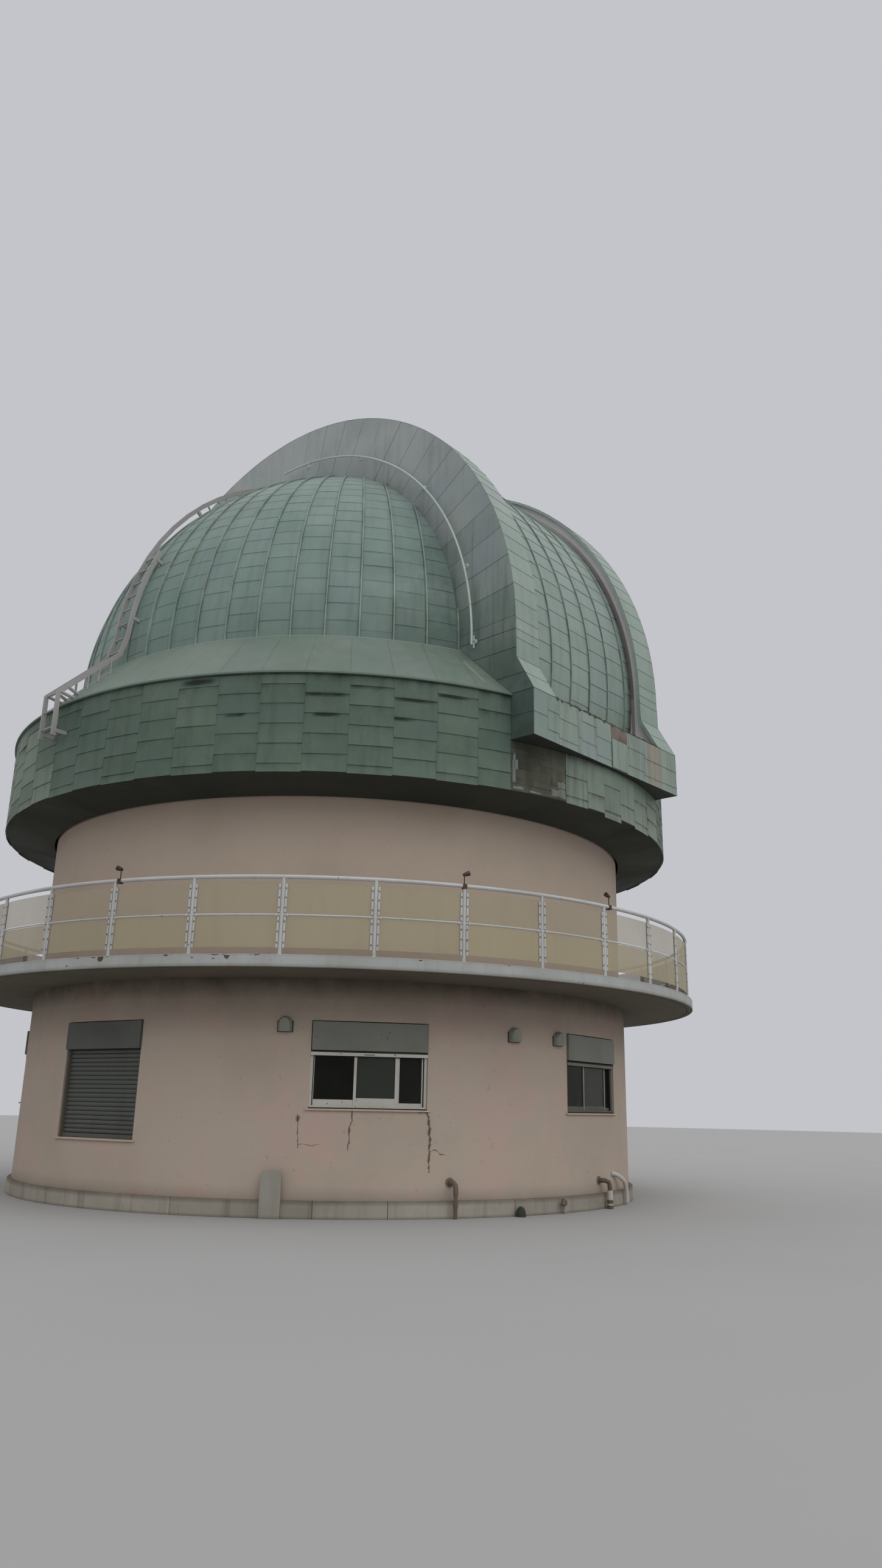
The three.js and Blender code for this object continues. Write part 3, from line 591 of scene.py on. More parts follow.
# Camera and stage
def setStage():
    shot = {"distance": 21.134, "eye": 1.486, "yaw": 5.315, "pitch": 16.9, "roll": 1.131, "lens": 24.404}
    yaw, pitch, roll = (math.radians(shot[k]) for k in ("yaw", "pitch", "roll"))
    look = Vector((math.sin(yaw) * math.cos(pitch), math.cos(yaw) * math.cos(pitch), math.sin(pitch)))
    flat = Vector((math.cos(yaw), -math.sin(yaw), 0.0))
    top = flat.cross(look)
    right = flat * math.cos(roll) + top * math.sin(roll)
    up = top * math.cos(roll) - flat * math.sin(roll)
    place = Matrix((right, up, -look)).transposed().to_4x4()
    place.translation = (0.0, -shot["distance"], shot["eye"])
    camera = bpy.data.objects.new("camera", bpy.data.cameras.new("camera"))
    camera.data.lens = shot["lens"]
    camera.data.sensor_width = 36.0
    camera.data.clip_end = 400.0
    camera.matrix_world = Matrix.Rotation(math.radians(viewAzimuth), 4, "Z") @ place
    bpy.context.scene.collection.objects.link(camera)
    bpy.context.scene.camera = camera
    bpy.context.scene.view_settings.view_transform = "Standard"

    floorMesh = bpy.data.meshes.new("floor")
    ring = polar(90.0, around(0, 360, 5.625), -0.002)       # a disc 90 m in radius, just under the ground line
    floorMesh.from_pydata(ring.tolist(), [], [list(range(len(ring)))])
    floor = bpy.data.objects.new("floor", floorMesh)
    bench, shader, position = newMaterial("paleFloor", 0.9)
    cloud = bench.noise(position, 0.4, 3.0)
    bench.feed(shader["Base Color"], bench.blend(cloud, srgb(166, 166, 166), srgb(172, 172, 172)))
    floorMesh.materials.append(bpy.data.materials["paleFloor"])
    bpy.context.scene.collection.objects.link(floor)

    # The air is pale and even where it is seen; its light comes mostly from above
    world = bpy.data.worlds.new("softLight")
    world.use_nodes = True
    sky = NodeBench(world.node_tree)
    rise = sky.height(sky.node("TexCoord").outputs["Generated"])
    light = sky.blend(sky.span(rise, 0.0, 0.9), srgb(176, 175, 174), srgb(226, 226, 228))
    seen = sky.node("LightPath").outputs["Is Camera Ray"]
    background = world.node_tree.nodes["Background"]
    sky.feed(background.inputs["Color"], sky.blend(seen, light, srgb(196, 197, 202)))
    background.inputs["Strength"].default_value = 1.0
    bpy.context.scene.world = world

    soft = bpy.data.lights.new("softTop", "SUN")
    soft.energy = 0.9
    soft.angle = math.radians(70)
    soft.color = (1.0, 0.985, 0.96)
    lamp = bpy.data.objects.new("softTop", soft)
    lamp.rotation_euler = (math.radians(40), 0.0, math.radians(viewAzimuth + 26))
    bpy.context.scene.collection.objects.link(lamp)


setStage()


# Plinth: a core with facing blocks round it
def makePlinth():
    size = {"facing": 0.05, "joint": 0.008, "chamfer": 0.01, "block": 20.6}
    work = Work()
    core = plinthRadius - size["facing"]
    work.lathe([(0, 0), (core, 0), (core, plinthTop - 0.006), (0, plinthTop - 0.006)])
    joints = [-65.46, -44.76, -34.16, -13.76]     # the four that the photo shows
    last = joints[0] + 360
    while joints[-1] + 27 < last:
        joints.append(joints[-1] + size["block"] + dice.uniform(-3, 3))
    joints.append(last)
    gap = math.degrees(size["joint"] / plinthRadius) / 2
    c = size["chamfer"]
    for a0, a1 in zip(joints, joints[1:]):
        outer = plinthRadius - dice.uniform(0, 0.003)
        back = core - 0.03
        profile = [(back, 0), (outer, 0), (outer, plinthTop - c), (outer - c, plinthTop), (back, plinthTop)]
        work.lathe(profile, around(a0 + gap, a1 - gap), dice.uniform(0.35, 0.7))
    work.finish("plinth", "tower", "concrete", "foundation_concrete", ["foundation"])


# Round walls with openings: each is (azimuth, half width, low, high)
def addDrum(work, outer, inner, bottom, top, openings):
    fade = 4                          # degrees beside an opening over which the inner edges line up again
    halves = [math.degrees(math.asin(half / outer)) for _, half, _, _ in openings]
    azimuths = [a % 360 for a in around()
                if all(abs(abs((a - o[0] + 180) % 360 - 180) - h) > 0.5 for o, h in zip(openings, halves))]
    for o, h in zip(openings, halves):
        azimuths += [(o[0] - h) % 360, (o[0] + h) % 360]
    azimuths = np.array(sorted(azimuths))
    heights = sorted({bottom, top, *[z for o in openings for z in o[2:]]})
    insideAzimuths = azimuths.copy()
    for o, h in zip(openings, halves):
        away = (azimuths - o[0] + 180) % 360 - 180
        wide = math.degrees(math.asin(o[1] / inner))
        share = np.clip((h + fade - np.abs(away)) / fade, 0, 1)
        grown = np.where(np.abs(away) <= h + 1e-6, away * wide / h, away + np.sign(away) * (wide - h) * share)
        insideAzimuths = np.where(np.abs(away) < h + fade, o[0] + grown, insideAzimuths)
    count, rows = len(azimuths), len(heights)
    index = np.arange(count * rows).reshape(count, rows)
    out, ins = (work.gather(polar(radius, turn[:, None], heights), np.zeros(count * rows)) + index
                for radius, turn in ((outer, azimuths), (inner, insideAzimuths)))

    def isSolid(i, j):
        if j < 0 or j >= rows - 1:
            return False
        i %= count
        middle = azimuths[i] + ((azimuths[(i + 1) % count] - azimuths[i]) % 360) / 2
        halfway = (heights[j] + heights[j + 1]) / 2
        return not any(abs((middle - o[0] + 180) % 360 - 180) < h and o[2] < halfway < o[3]
                       for o, h in zip(openings, halves))

    for i in range(count):
        n = (i + 1) % count
        for j in range(rows - 1):
            if not isSolid(i, j):
                continue
            k = j + 1
            work.face((out[i, j], out[n, j], out[n, k], out[i, k]))
            work.face((ins[n, j], ins[i, j], ins[i, k], ins[n, k]))
            if not isSolid(i, j - 1):
                work.face((out[n, j], out[i, j], ins[i, j], ins[n, j]))
            if not isSolid(i, j + 1):
                work.face((out[i, k], out[n, k], ins[n, k], ins[i, k]))
            if not isSolid(i - 1, j):
                work.face((out[i, j], out[i, k], ins[i, k], ins[i, j]))
            if not isSolid(i + 1, j):
                work.face((out[n, k], out[n, j], ins[n, j], ins[n, k]))


openingHalf = 0.845
windowTop = 2.64
windowBottom = 1.44
tallBottom = 0.955
doorAzimuth = 52.7
windowAzimuths = {i + 1: -82.3 + 45 * i for i in range(8)}    # 1 has the curtain, 4 is the door


def makeDrums():
    sill = {"height": 0.03, "proud": 0.034, "half": 9.3, "slope": 0.008}
    door = {"half": 0.5, "height": 2.1, "balconyHalf": 0.45, "balconyHeight": 2.0}
    seam = 0.0003                     # keeps the drums off what they stand on
    bottoms = {i: tallBottom if i == 1 else windowBottom for i in windowAzimuths if i != 4}
    openings = [(windowAzimuths[i], openingHalf, low - sill["height"], windowTop) for i, low in bottoms.items()]
    openings.insert(3, (windowAzimuths[4], door["half"], plinthTop + seam, plinthTop + door["height"]))
    work = Work()
    addDrum(work, groundRadius, groundRadius - wallThickness, plinthTop + seam, slabBottom - seam, openings)
    work.finish("ground_drum", "tower", "plaster", "wall_plaster", [f"ground_wall_{i}" for i in range(1, 9)])
    work = Work()
    outer, inner, wall = groundRadius + sill["proud"], groundRadius - wallThickness, groundRadius + 0.002
    drip = outer - 0.012
    for i, top in bottoms.items():
        low = top - sill["height"]
        profile = [(inner, low), (wall, low), (wall, low + 0.008), (drip, low + 0.008), (drip, low), (outer, low),
                   (outer, top - sill["slope"]), (inner, top)]
        a = windowAzimuths[i]
        work.lathe(profile, around(a - sill["half"], a + sill["half"], 1.0))
    work.finish("window_sills", "tower", "upperPlaster", "wall_plaster", bevel=0.004)
    work = Work()
    doorway = [(doorAzimuth, door["balconyHalf"], slabTop + seam, slabTop + door["balconyHeight"])]
    addDrum(work, upperRadius, upperRadius - wallThickness, slabTop + seam, upperTop, doorway)
    work.finish("upper_drum", "tower", "upperPlaster", "wall_plaster", [f"upper_wall_{i}" for i in range(1, 5)])


def makeSlab():
    size = {"chamfer": 0.008, "grooveFrom": 0.11, "grooveWidth": 0.018, "grooveDepth": 0.012, "kerb": 0.012}
    c = size["chamfer"]
    g0 = slabRadius - size["grooveFrom"]
    g1 = g0 + size["grooveWidth"]
    groove = slabBottom + size["grooveDepth"]
    floor = slabTop - size["kerb"]
    profile = [
        (0, slabBottom), (g0, slabBottom), (g0, groove), (g1, groove), (g1, slabBottom), (slabRadius - c, slabBottom),
        (slabRadius, slabBottom + c), (slabRadius, slabTop - c), (slabRadius - c, slabTop),
        (slabRadius - 0.16, slabTop), (slabRadius - 0.17, floor), (0, floor),
    ]
    work = Work()
    work.lathe(profile, slots=[1, 1, 1, 1, 1, 0, 0, 0, 0, 2, 2, 2])
    work.finish("balcony", "tower", "slabPaint slabUnder slabFloor", "balcony_paint", ["balcony_slab"])


# Windows, drawn at the front and carried round
frameFace = 5.404
frameDepth = 0.07
boxFace = 5.48
boxHeight = 0.425


def addRollerBox(work, azimuth):
    half = openingHalf - 0.002
    low = windowTop - boxHeight
    back = -frameFace + frameDepth
    # A near-black box behind the face; its rim round the face is painted shade in the gap.
    work.box((-half, -boxFace + 0.046, low + 0.01), (half, back, windowTop - 0.002), azimuth, slot=1)
    work.box((-half + 0.008, -boxFace, low + 0.016), (half - 0.008, back - 0.02, windowTop - 0.012), azimuth)
    return low


def makeWindows():
    # Sashes: (x from, x to, how deep they sit, stile, bottom rail, material slot). Some windows show two broad ones.
    half = openingHalf - 0.002
    face = -frameFace
    three = [(-half + 0.03, -0.175, 0.02, 0.035, 0.085, 2), (-0.215, 0.42, 0.008, 0.04, 0.11, 2),
             (0.40, half - 0.03, 0.024, 0.045, 0.05, 2)]
    two = [(-half + 0.03, -0.17, 0.008, 0.03, 0.06, 3), (-0.19, 0.62, 0.02, 0.03, 0.07, 3),
           (0.61, half - 0.03, 0.03, 0.02, 0.05, 3)]
    for number, azimuth in windowAzimuths.items():
        if number in (1, 4):
            continue
        sashes, trim = (three, 2) if number % 2 == 0 else (two, 3)
        work = Work()
        low = addRollerBox(work, azimuth)
        bottom = windowBottom + 0.001
        head = low - 0.058

        def bar(x0, x1, y0, y1, z0, z1, slot):
            work.box((x0, face + y0, z0), (x1, face + y1, z1), azimuth, slot=slot)

        # Bars in slot 1 are near-black: painted shade under the box, inside the frame and along its foot; two small
        # ones are screw heads.
        bar(-half, half, -0.045, frameDepth, head, low + 0.004, 2 if trim == 2 else 1)
        if trim == 3:                                          # here a pale top rail shows under the box
            bar(-half + 0.002, half - 0.002, -0.049, -0.04, head - 0.004, low - 0.016, 3)
        bar(-half + 0.01, half - 0.01, 0.006, frameDepth, head - 0.012, head + 0.01, 1)
        bar(-half + 0.001, half - 0.001, -0.048, -0.02, low - 0.012, low + 0.002, 1)
        for side in (-1, 1):
            bar(side * half, side * (half - 0.042), 0, frameDepth, bottom, head + 0.01, trim)
            bar(side * (half - 0.042), side * (half - 0.056), 0.008, frameDepth, bottom, head + 0.01, 1)
        bar(-half, half, -0.012, frameDepth, bottom, bottom + 0.035, trim)
        bar(-half, half, -0.02, 0, bottom, bottom + 0.009, 1)
        for x0, x1, depth, stile, rail, coat in sashes:
            z0, z1 = bottom + 0.033, head - 0.004
            bar(x0, x0 + stile, depth, depth + 0.03, z0, z1, coat)
            bar(x1 - stile, x1, depth, depth + 0.03, z0, z1, coat)
            if coat == 3 and x1 < half - 0.04:                 # the bright edge where two sashes meet
                bar(x1 - 0.014, x1, depth - 0.004, depth + 0.002, z0, z1, 2)
            bar(x0 + stile, x1 - stile, depth, depth + 0.03, z0, z0 + rail, coat)
        for x in (-0.42, 0.36):
            bar(x, x + 0.012, -0.05, -0.044, low - 0.04, low - 0.028, 1)
        bar(-0.08, 0.07, -0.047, -0.0445, low - 0.046, low - 0.03, 0)
        work.finish(f"sliding_window_{number}", "tower", "boxPaint gapBlack aluminium sashPaint", "window_metal",
                    [f"window_{number}"], bevel=0.003)
        work = Work()
        for (x0, x1, depth, stile, rail, _), tone in zip(sashes, (0.0, 0.8, 0.2)):
            y = face + depth + 0.012
            work.box((x0 + stile - 0.01, y, bottom + 0.03 + rail), (x1 - stile + 0.01, y + 0.005, head - 0.008),
                     azimuth, tone)
        work.finish(f"panes_{number}", "tower", "windowGlass", "window_glass", [f"glass_{number}"])


def makeCurtain():
    slat = {"pitch": 0.064, "bulge": 0.012, "guide": 0.045}
    azimuth = windowAzimuths[1]
    work = Work()
    low = addRollerBox(work, azimuth)
    half = openingHalf - 0.002
    face = -frameFace
    bottom = tallBottom + 0.002
    for side in (-1, 1):
        x0, x1 = side * half, side * (half - slat["guide"])
        work.box((x0, face - 0.01, bottom), (x1, face + frameDepth, low + 0.01), azimuth, slot=3)
        x0, x1 = side * (half - 0.012), side * (half - slat["guide"] + 0.012)
        work.box((x0, face - 0.018, bottom), (x1, face, low + 0.01), azimuth)
    inside = half - slat["guide"] + 0.006
    z = bottom + 0.06
    work.box((-inside, face + 0.008, bottom), (inside, face + 0.045, z - 0.006), azimuth)
    while z < low + 0.03:
        outline = [(face + 0.03 - slat["bulge"] * math.sin(math.pi * k / 6), z + k / 6 * (slat["pitch"] - 0.008))
                   for k in range(7)]
        ring = outline + [(face + 0.042, outline[-1][1]), (face + 0.042, z)]
        rings = [[(x, y, h) for y, h in ring] for x in (-inside, inside)]
        work.sweep(turned(rings, azimuth), dice.random(), 2)
        z += slat["pitch"]
    # A near-black sheet behind the slats, painted shade.
    work.box((-inside, face + 0.036, bottom), (inside, face + 0.05, low + 0.01), azimuth, slot=1)
    coats = "curtainBox gapBlack curtainPaint pipePaint"
    work.finish("roller_curtain", "tower", coats, "window_metal", ["window_1"])


# Railing round the balcony
railRadius = 6.674
railTop = 4.505
midRail = 3.95
bayAngle = 360 / 33
firstPost = -49.56


def makeRailing():
    size = {"rail": 0.029, "mid": 0.014, "post": 0.026, "strip": 0.03, "foot": 0.07}
    metal = Work()
    top = railTop - size["rail"]
    for radius, height, pipe, sides in ((railRadius, top, size["rail"], 14), (railRadius, midRail, size["mid"], 8)):
        turns = 2 * np.pi * np.arange(sides) / sides
        profile = np.stack([radius + pipe * np.cos(turns), height + pipe * np.sin(turns)], -1)
        metal.lathe(profile)
    bays = [firstPost + bayAngle * k for k in range(33)]
    for a in bays:
        x, y, _ = polar(railRadius, a, 0)
        metal.pipe([(x, y, slabTop - 0.01), (x, y, 4.0), (x, y, top)], size["post"])
        foot = size["foot"] / 2
        metal.box((-foot, -railRadius - foot, slabTop), (foot, -railRadius + foot, slabTop + 0.008), a)
        for side in (-1, 1):
            x0 = side * (size["post"] + 0.004)
            x1 = x0 + side * size["strip"]
            middle = (x0 + x1) / 2
            for z0, z1 in ((slabTop + 0.095, midRail - 0.03), (midRail + 0.03, top - 0.1)):
                for away in (-0.014, 0.004):
                    metal.box((x0, -railRadius + away, z0), (x1, -railRadius + away + 0.006, z1), a)
                for z in (z0 + 0.06, (z0 + z1) / 2, z1 - 0.07):     # bolts, most of them rusted
                    metal.box((middle - 0.008, -railRadius - 0.022, z),
                              (middle + 0.008, -railRadius - 0.012, z + 0.016), a, slot=1)
        for side in (-1, 1):
            metal.box((side * 0.075 - 0.012, -railRadius - 0.016, midRail - 0.02),
                   (side * 0.075 + 0.012, -railRadius + 0.016, midRail + 0.02), a)
    sections = [f"railing_{i}" for i in range(1, 12)]
    metal.finish("railing", "tower", "railPaint rustDots", "railing_paint", sections)
    panel = Work()
    gap = math.degrees(0.026 / railRadius)
    # How yellow the upper panels are that the photo shows
    yellowed = {29: 0.0, 30: 0.0, 31: 0.0, 32: 0.25, 0: 0.5, 1: 0.5, 2: 0.1, 3: 0.0, 4: 0.0}
    for k, a in enumerate(bays):
        upper = yellowed.get(k, dice.choice((0.0, 0.25, 0.55)))
        lower = dice.uniform(0.55, 0.9)
        for z0, z1, tone in ((midRail + 0.02, top - 0.09, upper), (slabTop + 0.1, midRail - 0.02, lower)):
            near, far = railRadius - 0.004, railRadius + 0.002
            profile = [(near, z0), (far, z0), (far, z1), (near, z1)]
            panel.lathe(profile, around(a + gap, a + bayAngle - gap, 1.5), tone)
    panel.finish("infill_panels", "tower", "infillPanel", "railing_panel")


def makeLamps():
    lamp = {"stick": 0.13, "pipe": 0.008, "head": 0.036}
    work = Work()
    for photoAzimuth, tilt in ((-28, -1), (15, 1), (38, -1)):
        a = photoAzimuth + viewAzimuth
        foot = polar(railRadius, a, railTop - 0.06)
        top = polar(railRadius, a, railTop + lamp["stick"])
        work.pipe([foot, (foot + top) / 2, top], lamp["pipe"], sides=8)
        work.box((-0.03, -railRadius - 0.034, railTop - 0.07), (0.03, -railRadius + 0.034, railTop - 0.002), a)
        side = polar(1, a + 90, 0)
        start = Vector(top) - Vector(side) * 0.02 * tilt
        aim = (Vector(side) * tilt + Vector((0, 0, 0.35))).normalized()
        path = [start + aim * d for d in (0.0, 0.025, 0.08, 0.1)]
        rings = pipeRings(path, 1.0)
        middle = rings.mean(1, keepdims=True)
        grow = np.array([0.018, 0.026, lamp["head"], lamp["head"]])[:, None, None]
        work.sweep(middle + (rings - middle) * grow)
    work.finish("floodlights", "tower", "lampPaint", "dark_steel")


def makeWallFittings():
    # Vent hoods at the photo's azimuths, and the pipes at the foot
    hood = {"half": 0.106, "height": 0.215, "deep": 0.1}
    work = Work()
    arch = np.linspace(0, math.pi, 9)
    for photoAzimuth, z in ((-7.35, 2.474), (29.4, 2.445), (39.2, 2.435), (120.0, 2.44), (165.0, 2.44), (-112.0, 2.45)):
        a = photoAzimuth + viewAzimuth
        rings = []
        for share in (0.0, 0.55, 0.85, 1.0):
            half = hood["half"] * (1 - 0.35 * share ** 3)
            rise = hood["height"] * (0.55 + 0.45 * np.sin(arch)) * (1 - 0.1 * share ** 3)
            y = -groundRadius + 0.01 - hood["deep"] * share
            rings.append(spread([*(-half * np.cos(arch)), half, -half], y, z + np.array([*rise, 0, 0])))
        work.sweep(turned(rings, a))
        # A near-black plate behind the hood, whose rim is painted shadow round it.
        work.box((-0.116, -groundRadius - 0.006, z - 0.008), (0.116, -groundRadius + 0.004, z + 0.15), a, slot=1)
    work.finish("vent_hoods", "tower", "ventPaint gapBlack", "window_metal", bevel=0.004)
    coats = "pipePaint whitePipe concrete gapBlack coverStone darkSteel"
    makeFootPipes().finish("foot_pipes", "tower", coats, "ladder_steel")


def makeFootPipes():
    # At the photo's azimuths: two drain pipes, a bent white one, a cap, a cowl and a cover slab on edge
    work = Work()
    wall = -groundRadius
    for photoAzimuth, high, side, pale in ((18.1, 0.47, 0.03, False), (51.0, 0.42, 0.1, True)):
        a = photoAzimuth + viewAzimuth
        y = wall - 0.15
        path = [(0, wall + 0.03, high), (0, wall - 0.05, high), (side * 0.4, wall - 0.1, high),
                (side, wall - 0.135, high - 0.03), (side, y, high - 0.09), (side, y, high - 0.16)]
        work.pipe(path, 0.036, a)
        work.pipe([(side, y, high - 0.15), (side, y, 0.0)], 0.044 if pale else 0.028, a, int(pale))
        work.pipe([(0, wall + 0.004, high), (0, wall - 0.014, high)], 0.064, a, 2, 20)      # round flange
        for level in ((0.02, 0.1) if pale else (0.17,)):
            work.pipe([(side, y, level - 0.02), (side, y, level + 0.03)], 0.05 if pale else 0.035, a)
    turn = np.linspace(0, math.pi / 2, 9)
    out = groundRadius - 0.01 + 0.14 * np.minimum(1, np.linspace(0, 2, 9))
    work.pipe(polar(out, 56.6 + 4.6 * np.sin(turn) + viewAzimuth, 0.04 + 0.46 * np.cos(turn)), 0.036, slot=1)
    sides = np.linspace(0, 2 * math.pi, 17)[:-1]
    cap = []
    for k in range(-1, 6):              # straight side, then the crown, drawn in at its tip
        turn = math.pi / 2 * max(k, 0) / 5
        wide = 0.072 * math.cos(turn)
        x = wide * np.cos(sides) * (0.1 if k == 5 else 1)
        height = 0.0 if k < 0 else 0.03 + 0.11 * math.sin(turn)
        cap.append(spread(x, -plinthRadius - 0.076 + wide * np.sin(sides), height))
    work.sweep(turned(cap, 29.5 + viewAzimuth), slot=5)
    a = 38.7 + viewAzimuth
    y = -plinthRadius - 0.06
    work.pipe([(0.02, y, 0.0), (0.02, y, 0.14)], 0.022, a, 2)
    work.pipe([(0.02, y, 0.13), (0.01, y - 0.01, 0.17), (-0.03, y - 0.02, 0.19), (-0.06, y - 0.03, 0.12)], 0.034, a)
    outline = [(-0.143, 0.0), (-0.143, 0.585), (-0.12, 0.605), (0.12, 0.61), (0.143, 0.59), (0.143, 0.0)]
    slab = [[(x, y, z) for x, z in outline] for y in (-plinthRadius - 0.055, -plinthRadius - 0.004)]
    work.sweep(turned(slab, -7.9 + viewAzimuth), slot=4)
    return work


def makeCracks():
    # Each crack is a stained strip with a dark core; places are (photo azimuth, height), the last number is its width
    lines = [
        ([(-4.75, 1.36), (-4.8, 1.31), (-4.72, 1.26)], 2.0),
        ([(-4.75, 1.28), (-4.7, 1.15), (-4.6, 1.03), (-4.6, 0.9)], 0.7),
        ([(3.1, 1.41), (3.1, 1.28), (2.75, 1.18), (2.75, 1.05), (2.6, 0.88)], 1.2),
        ([(14.3, 1.41), (14.6, 1.35), (14.75, 1.15), (14.9, 1.0), (14.7, 0.82), (14.8, 0.6)], 1.7),
        ([(14.9, 0.87), (15.7, 0.9), (16.5, 0.85), (17.3, 0.83)], 0.7),
        ([(12.8, 1.405), (14.3, 1.40)], 0.8),
        ([(-4.6, 0.95), (-3.4, 0.955), (-2.4, 0.945), (-1.4, 0.96)], 0.6),      # this one is a stain only
    ]
    for name, core, coat, away in (("crack_stains", 0.019, "crackStain", 0.0012),
                                   ("wall_cracks", 0.0075, "crackDark", 0.0024)):
        work = Work()
        wander = random.Random(4)
        for line, thick in lines[:-1] if name == "wall_cracks" else lines:
            points = []
            for (a0, z0), (a1, z1) in zip(line, line[1:]):
                steps = max(3, int(abs(z1 - z0) / 0.03) + int(abs(a1 - a0) / 0.4))
                for k in range(steps):
                    share = k / steps
                    points.append((a0 + (a1 - a0) * share + wander.uniform(-0.08, 0.08),
                                   z0 + (z1 - z0) * share + wander.uniform(-0.012, 0.012)))
            points.append(line[-1])
            level = abs(line[-1][0] - line[0][0]) > 0.9
            rings = []
            for k, (a, z) in enumerate(points):
                share = (k + 0.3) / len(points)
                wide = thick * core * (0.35 + 0.65 * math.sin(math.pi * share) ** 0.5) * wander.uniform(0.35, 1.5)
                across = 0.0 if level else math.degrees(wide / groundRadius)
                up = wide if level else wide * 0.3
                back, front = groundRadius - 0.01, groundRadius + away
                rings.append(polar([back, front, front, back], a + viewAzimuth + across * ridge, z + up * ridge))
            work.sweep(rings)
        work.finish(name, "tower", coat, "wall_plaster")
    # Chips along the balcony's edge show the brown ground under the paint
    work = Work()
    back, front = slabRadius - 0.005, slabRadius - 0.0002
    for a0, a1, z0, z1 in ((-30.6, -28.0, 3.36, 3.4), (-29.7, -28.7, 3.31, 3.38), (-15.0, -12.7, 3.375, 3.402),
                           (-13.1, -12.4, 3.32, 3.39), (-34.8, -34.0, 3.28, 3.3), (9.2, 9.8, 3.37, 3.395),
                           (31.0, 32.2, 3.24, 3.26),
                           (64, 65.5, 3.385, 3.4), (128, 130, 3.37, 3.4), (200, 201.2, 3.36, 3.4),
                           (247, 249, 3.38, 3.402),
                           (-20.6, -19.4, 3.37, 3.401), (-17.2, -16.7, 3.34, 3.365), (-10.2, -8.9, 3.378, 3.402),
                           (-14.6, -14.1, 3.33, 3.35), (-33.0, -32.2, 3.38, 3.4), (-2.4, -1.9, 3.385, 3.401),
                           (20.0, 21.1, 3.385, 3.402)):
        rings = []
        for share in np.linspace(0, 1, 7):
            top = z1 - dice.uniform(0, 0.006)
            low = z1 - (z1 - z0) * math.sin(math.pi * (0.08 + 0.84 * share)) * dice.uniform(0.6, 1.0)
            a = a0 + (a1 - a0) * share + viewAzimuth
            rings.append(polar([back, front, front, back], a, [low, low, top, top]))
        work.sweep(rings)
    work.finish("slab_chips", "tower", "crackDark", "balcony_paint")


def makeDoorFittings():
    work = Work()
    for radius, floor, half, high in ((groundRadius, plinthTop, 0.5, 2.1), (upperRadius, slabTop, 0.45, 2.0)):
        face = -(radius - 0.07)
        for z in (floor + 0.25, floor + high - 0.45):
            path = [(-half + 0.066, face - 0.008, z), (-half + 0.066, face - 0.008, z + 0.11)]
            work.pipe(path, 0.008, doorAzimuth, sides=8)
        work.box((half - 0.17, face + 0.015, floor + 0.93), (half - 0.11, face + 0.026, floor + 1.07), doorAzimuth)
        work.box((-half + 0.07, face + 0.018, floor + 0.07), (half - 0.07, face + 0.026, floor + 0.3), doorAzimuth)
        work.box((-half, face - 0.05, floor + 0.001), (half, face, floor + 0.02), doorAzimuth)
    work.finish("door_fittings", "tower", "aluminium", "door_paint", bevel=0.002)


makePlinth()
makeDrums()
makeSlab()
makeWindows()
makeCurtain()
makeRailing()
makeLamps()
makeWallFittings()
makeCracks()
makeDoorFittings()
print("tower made")


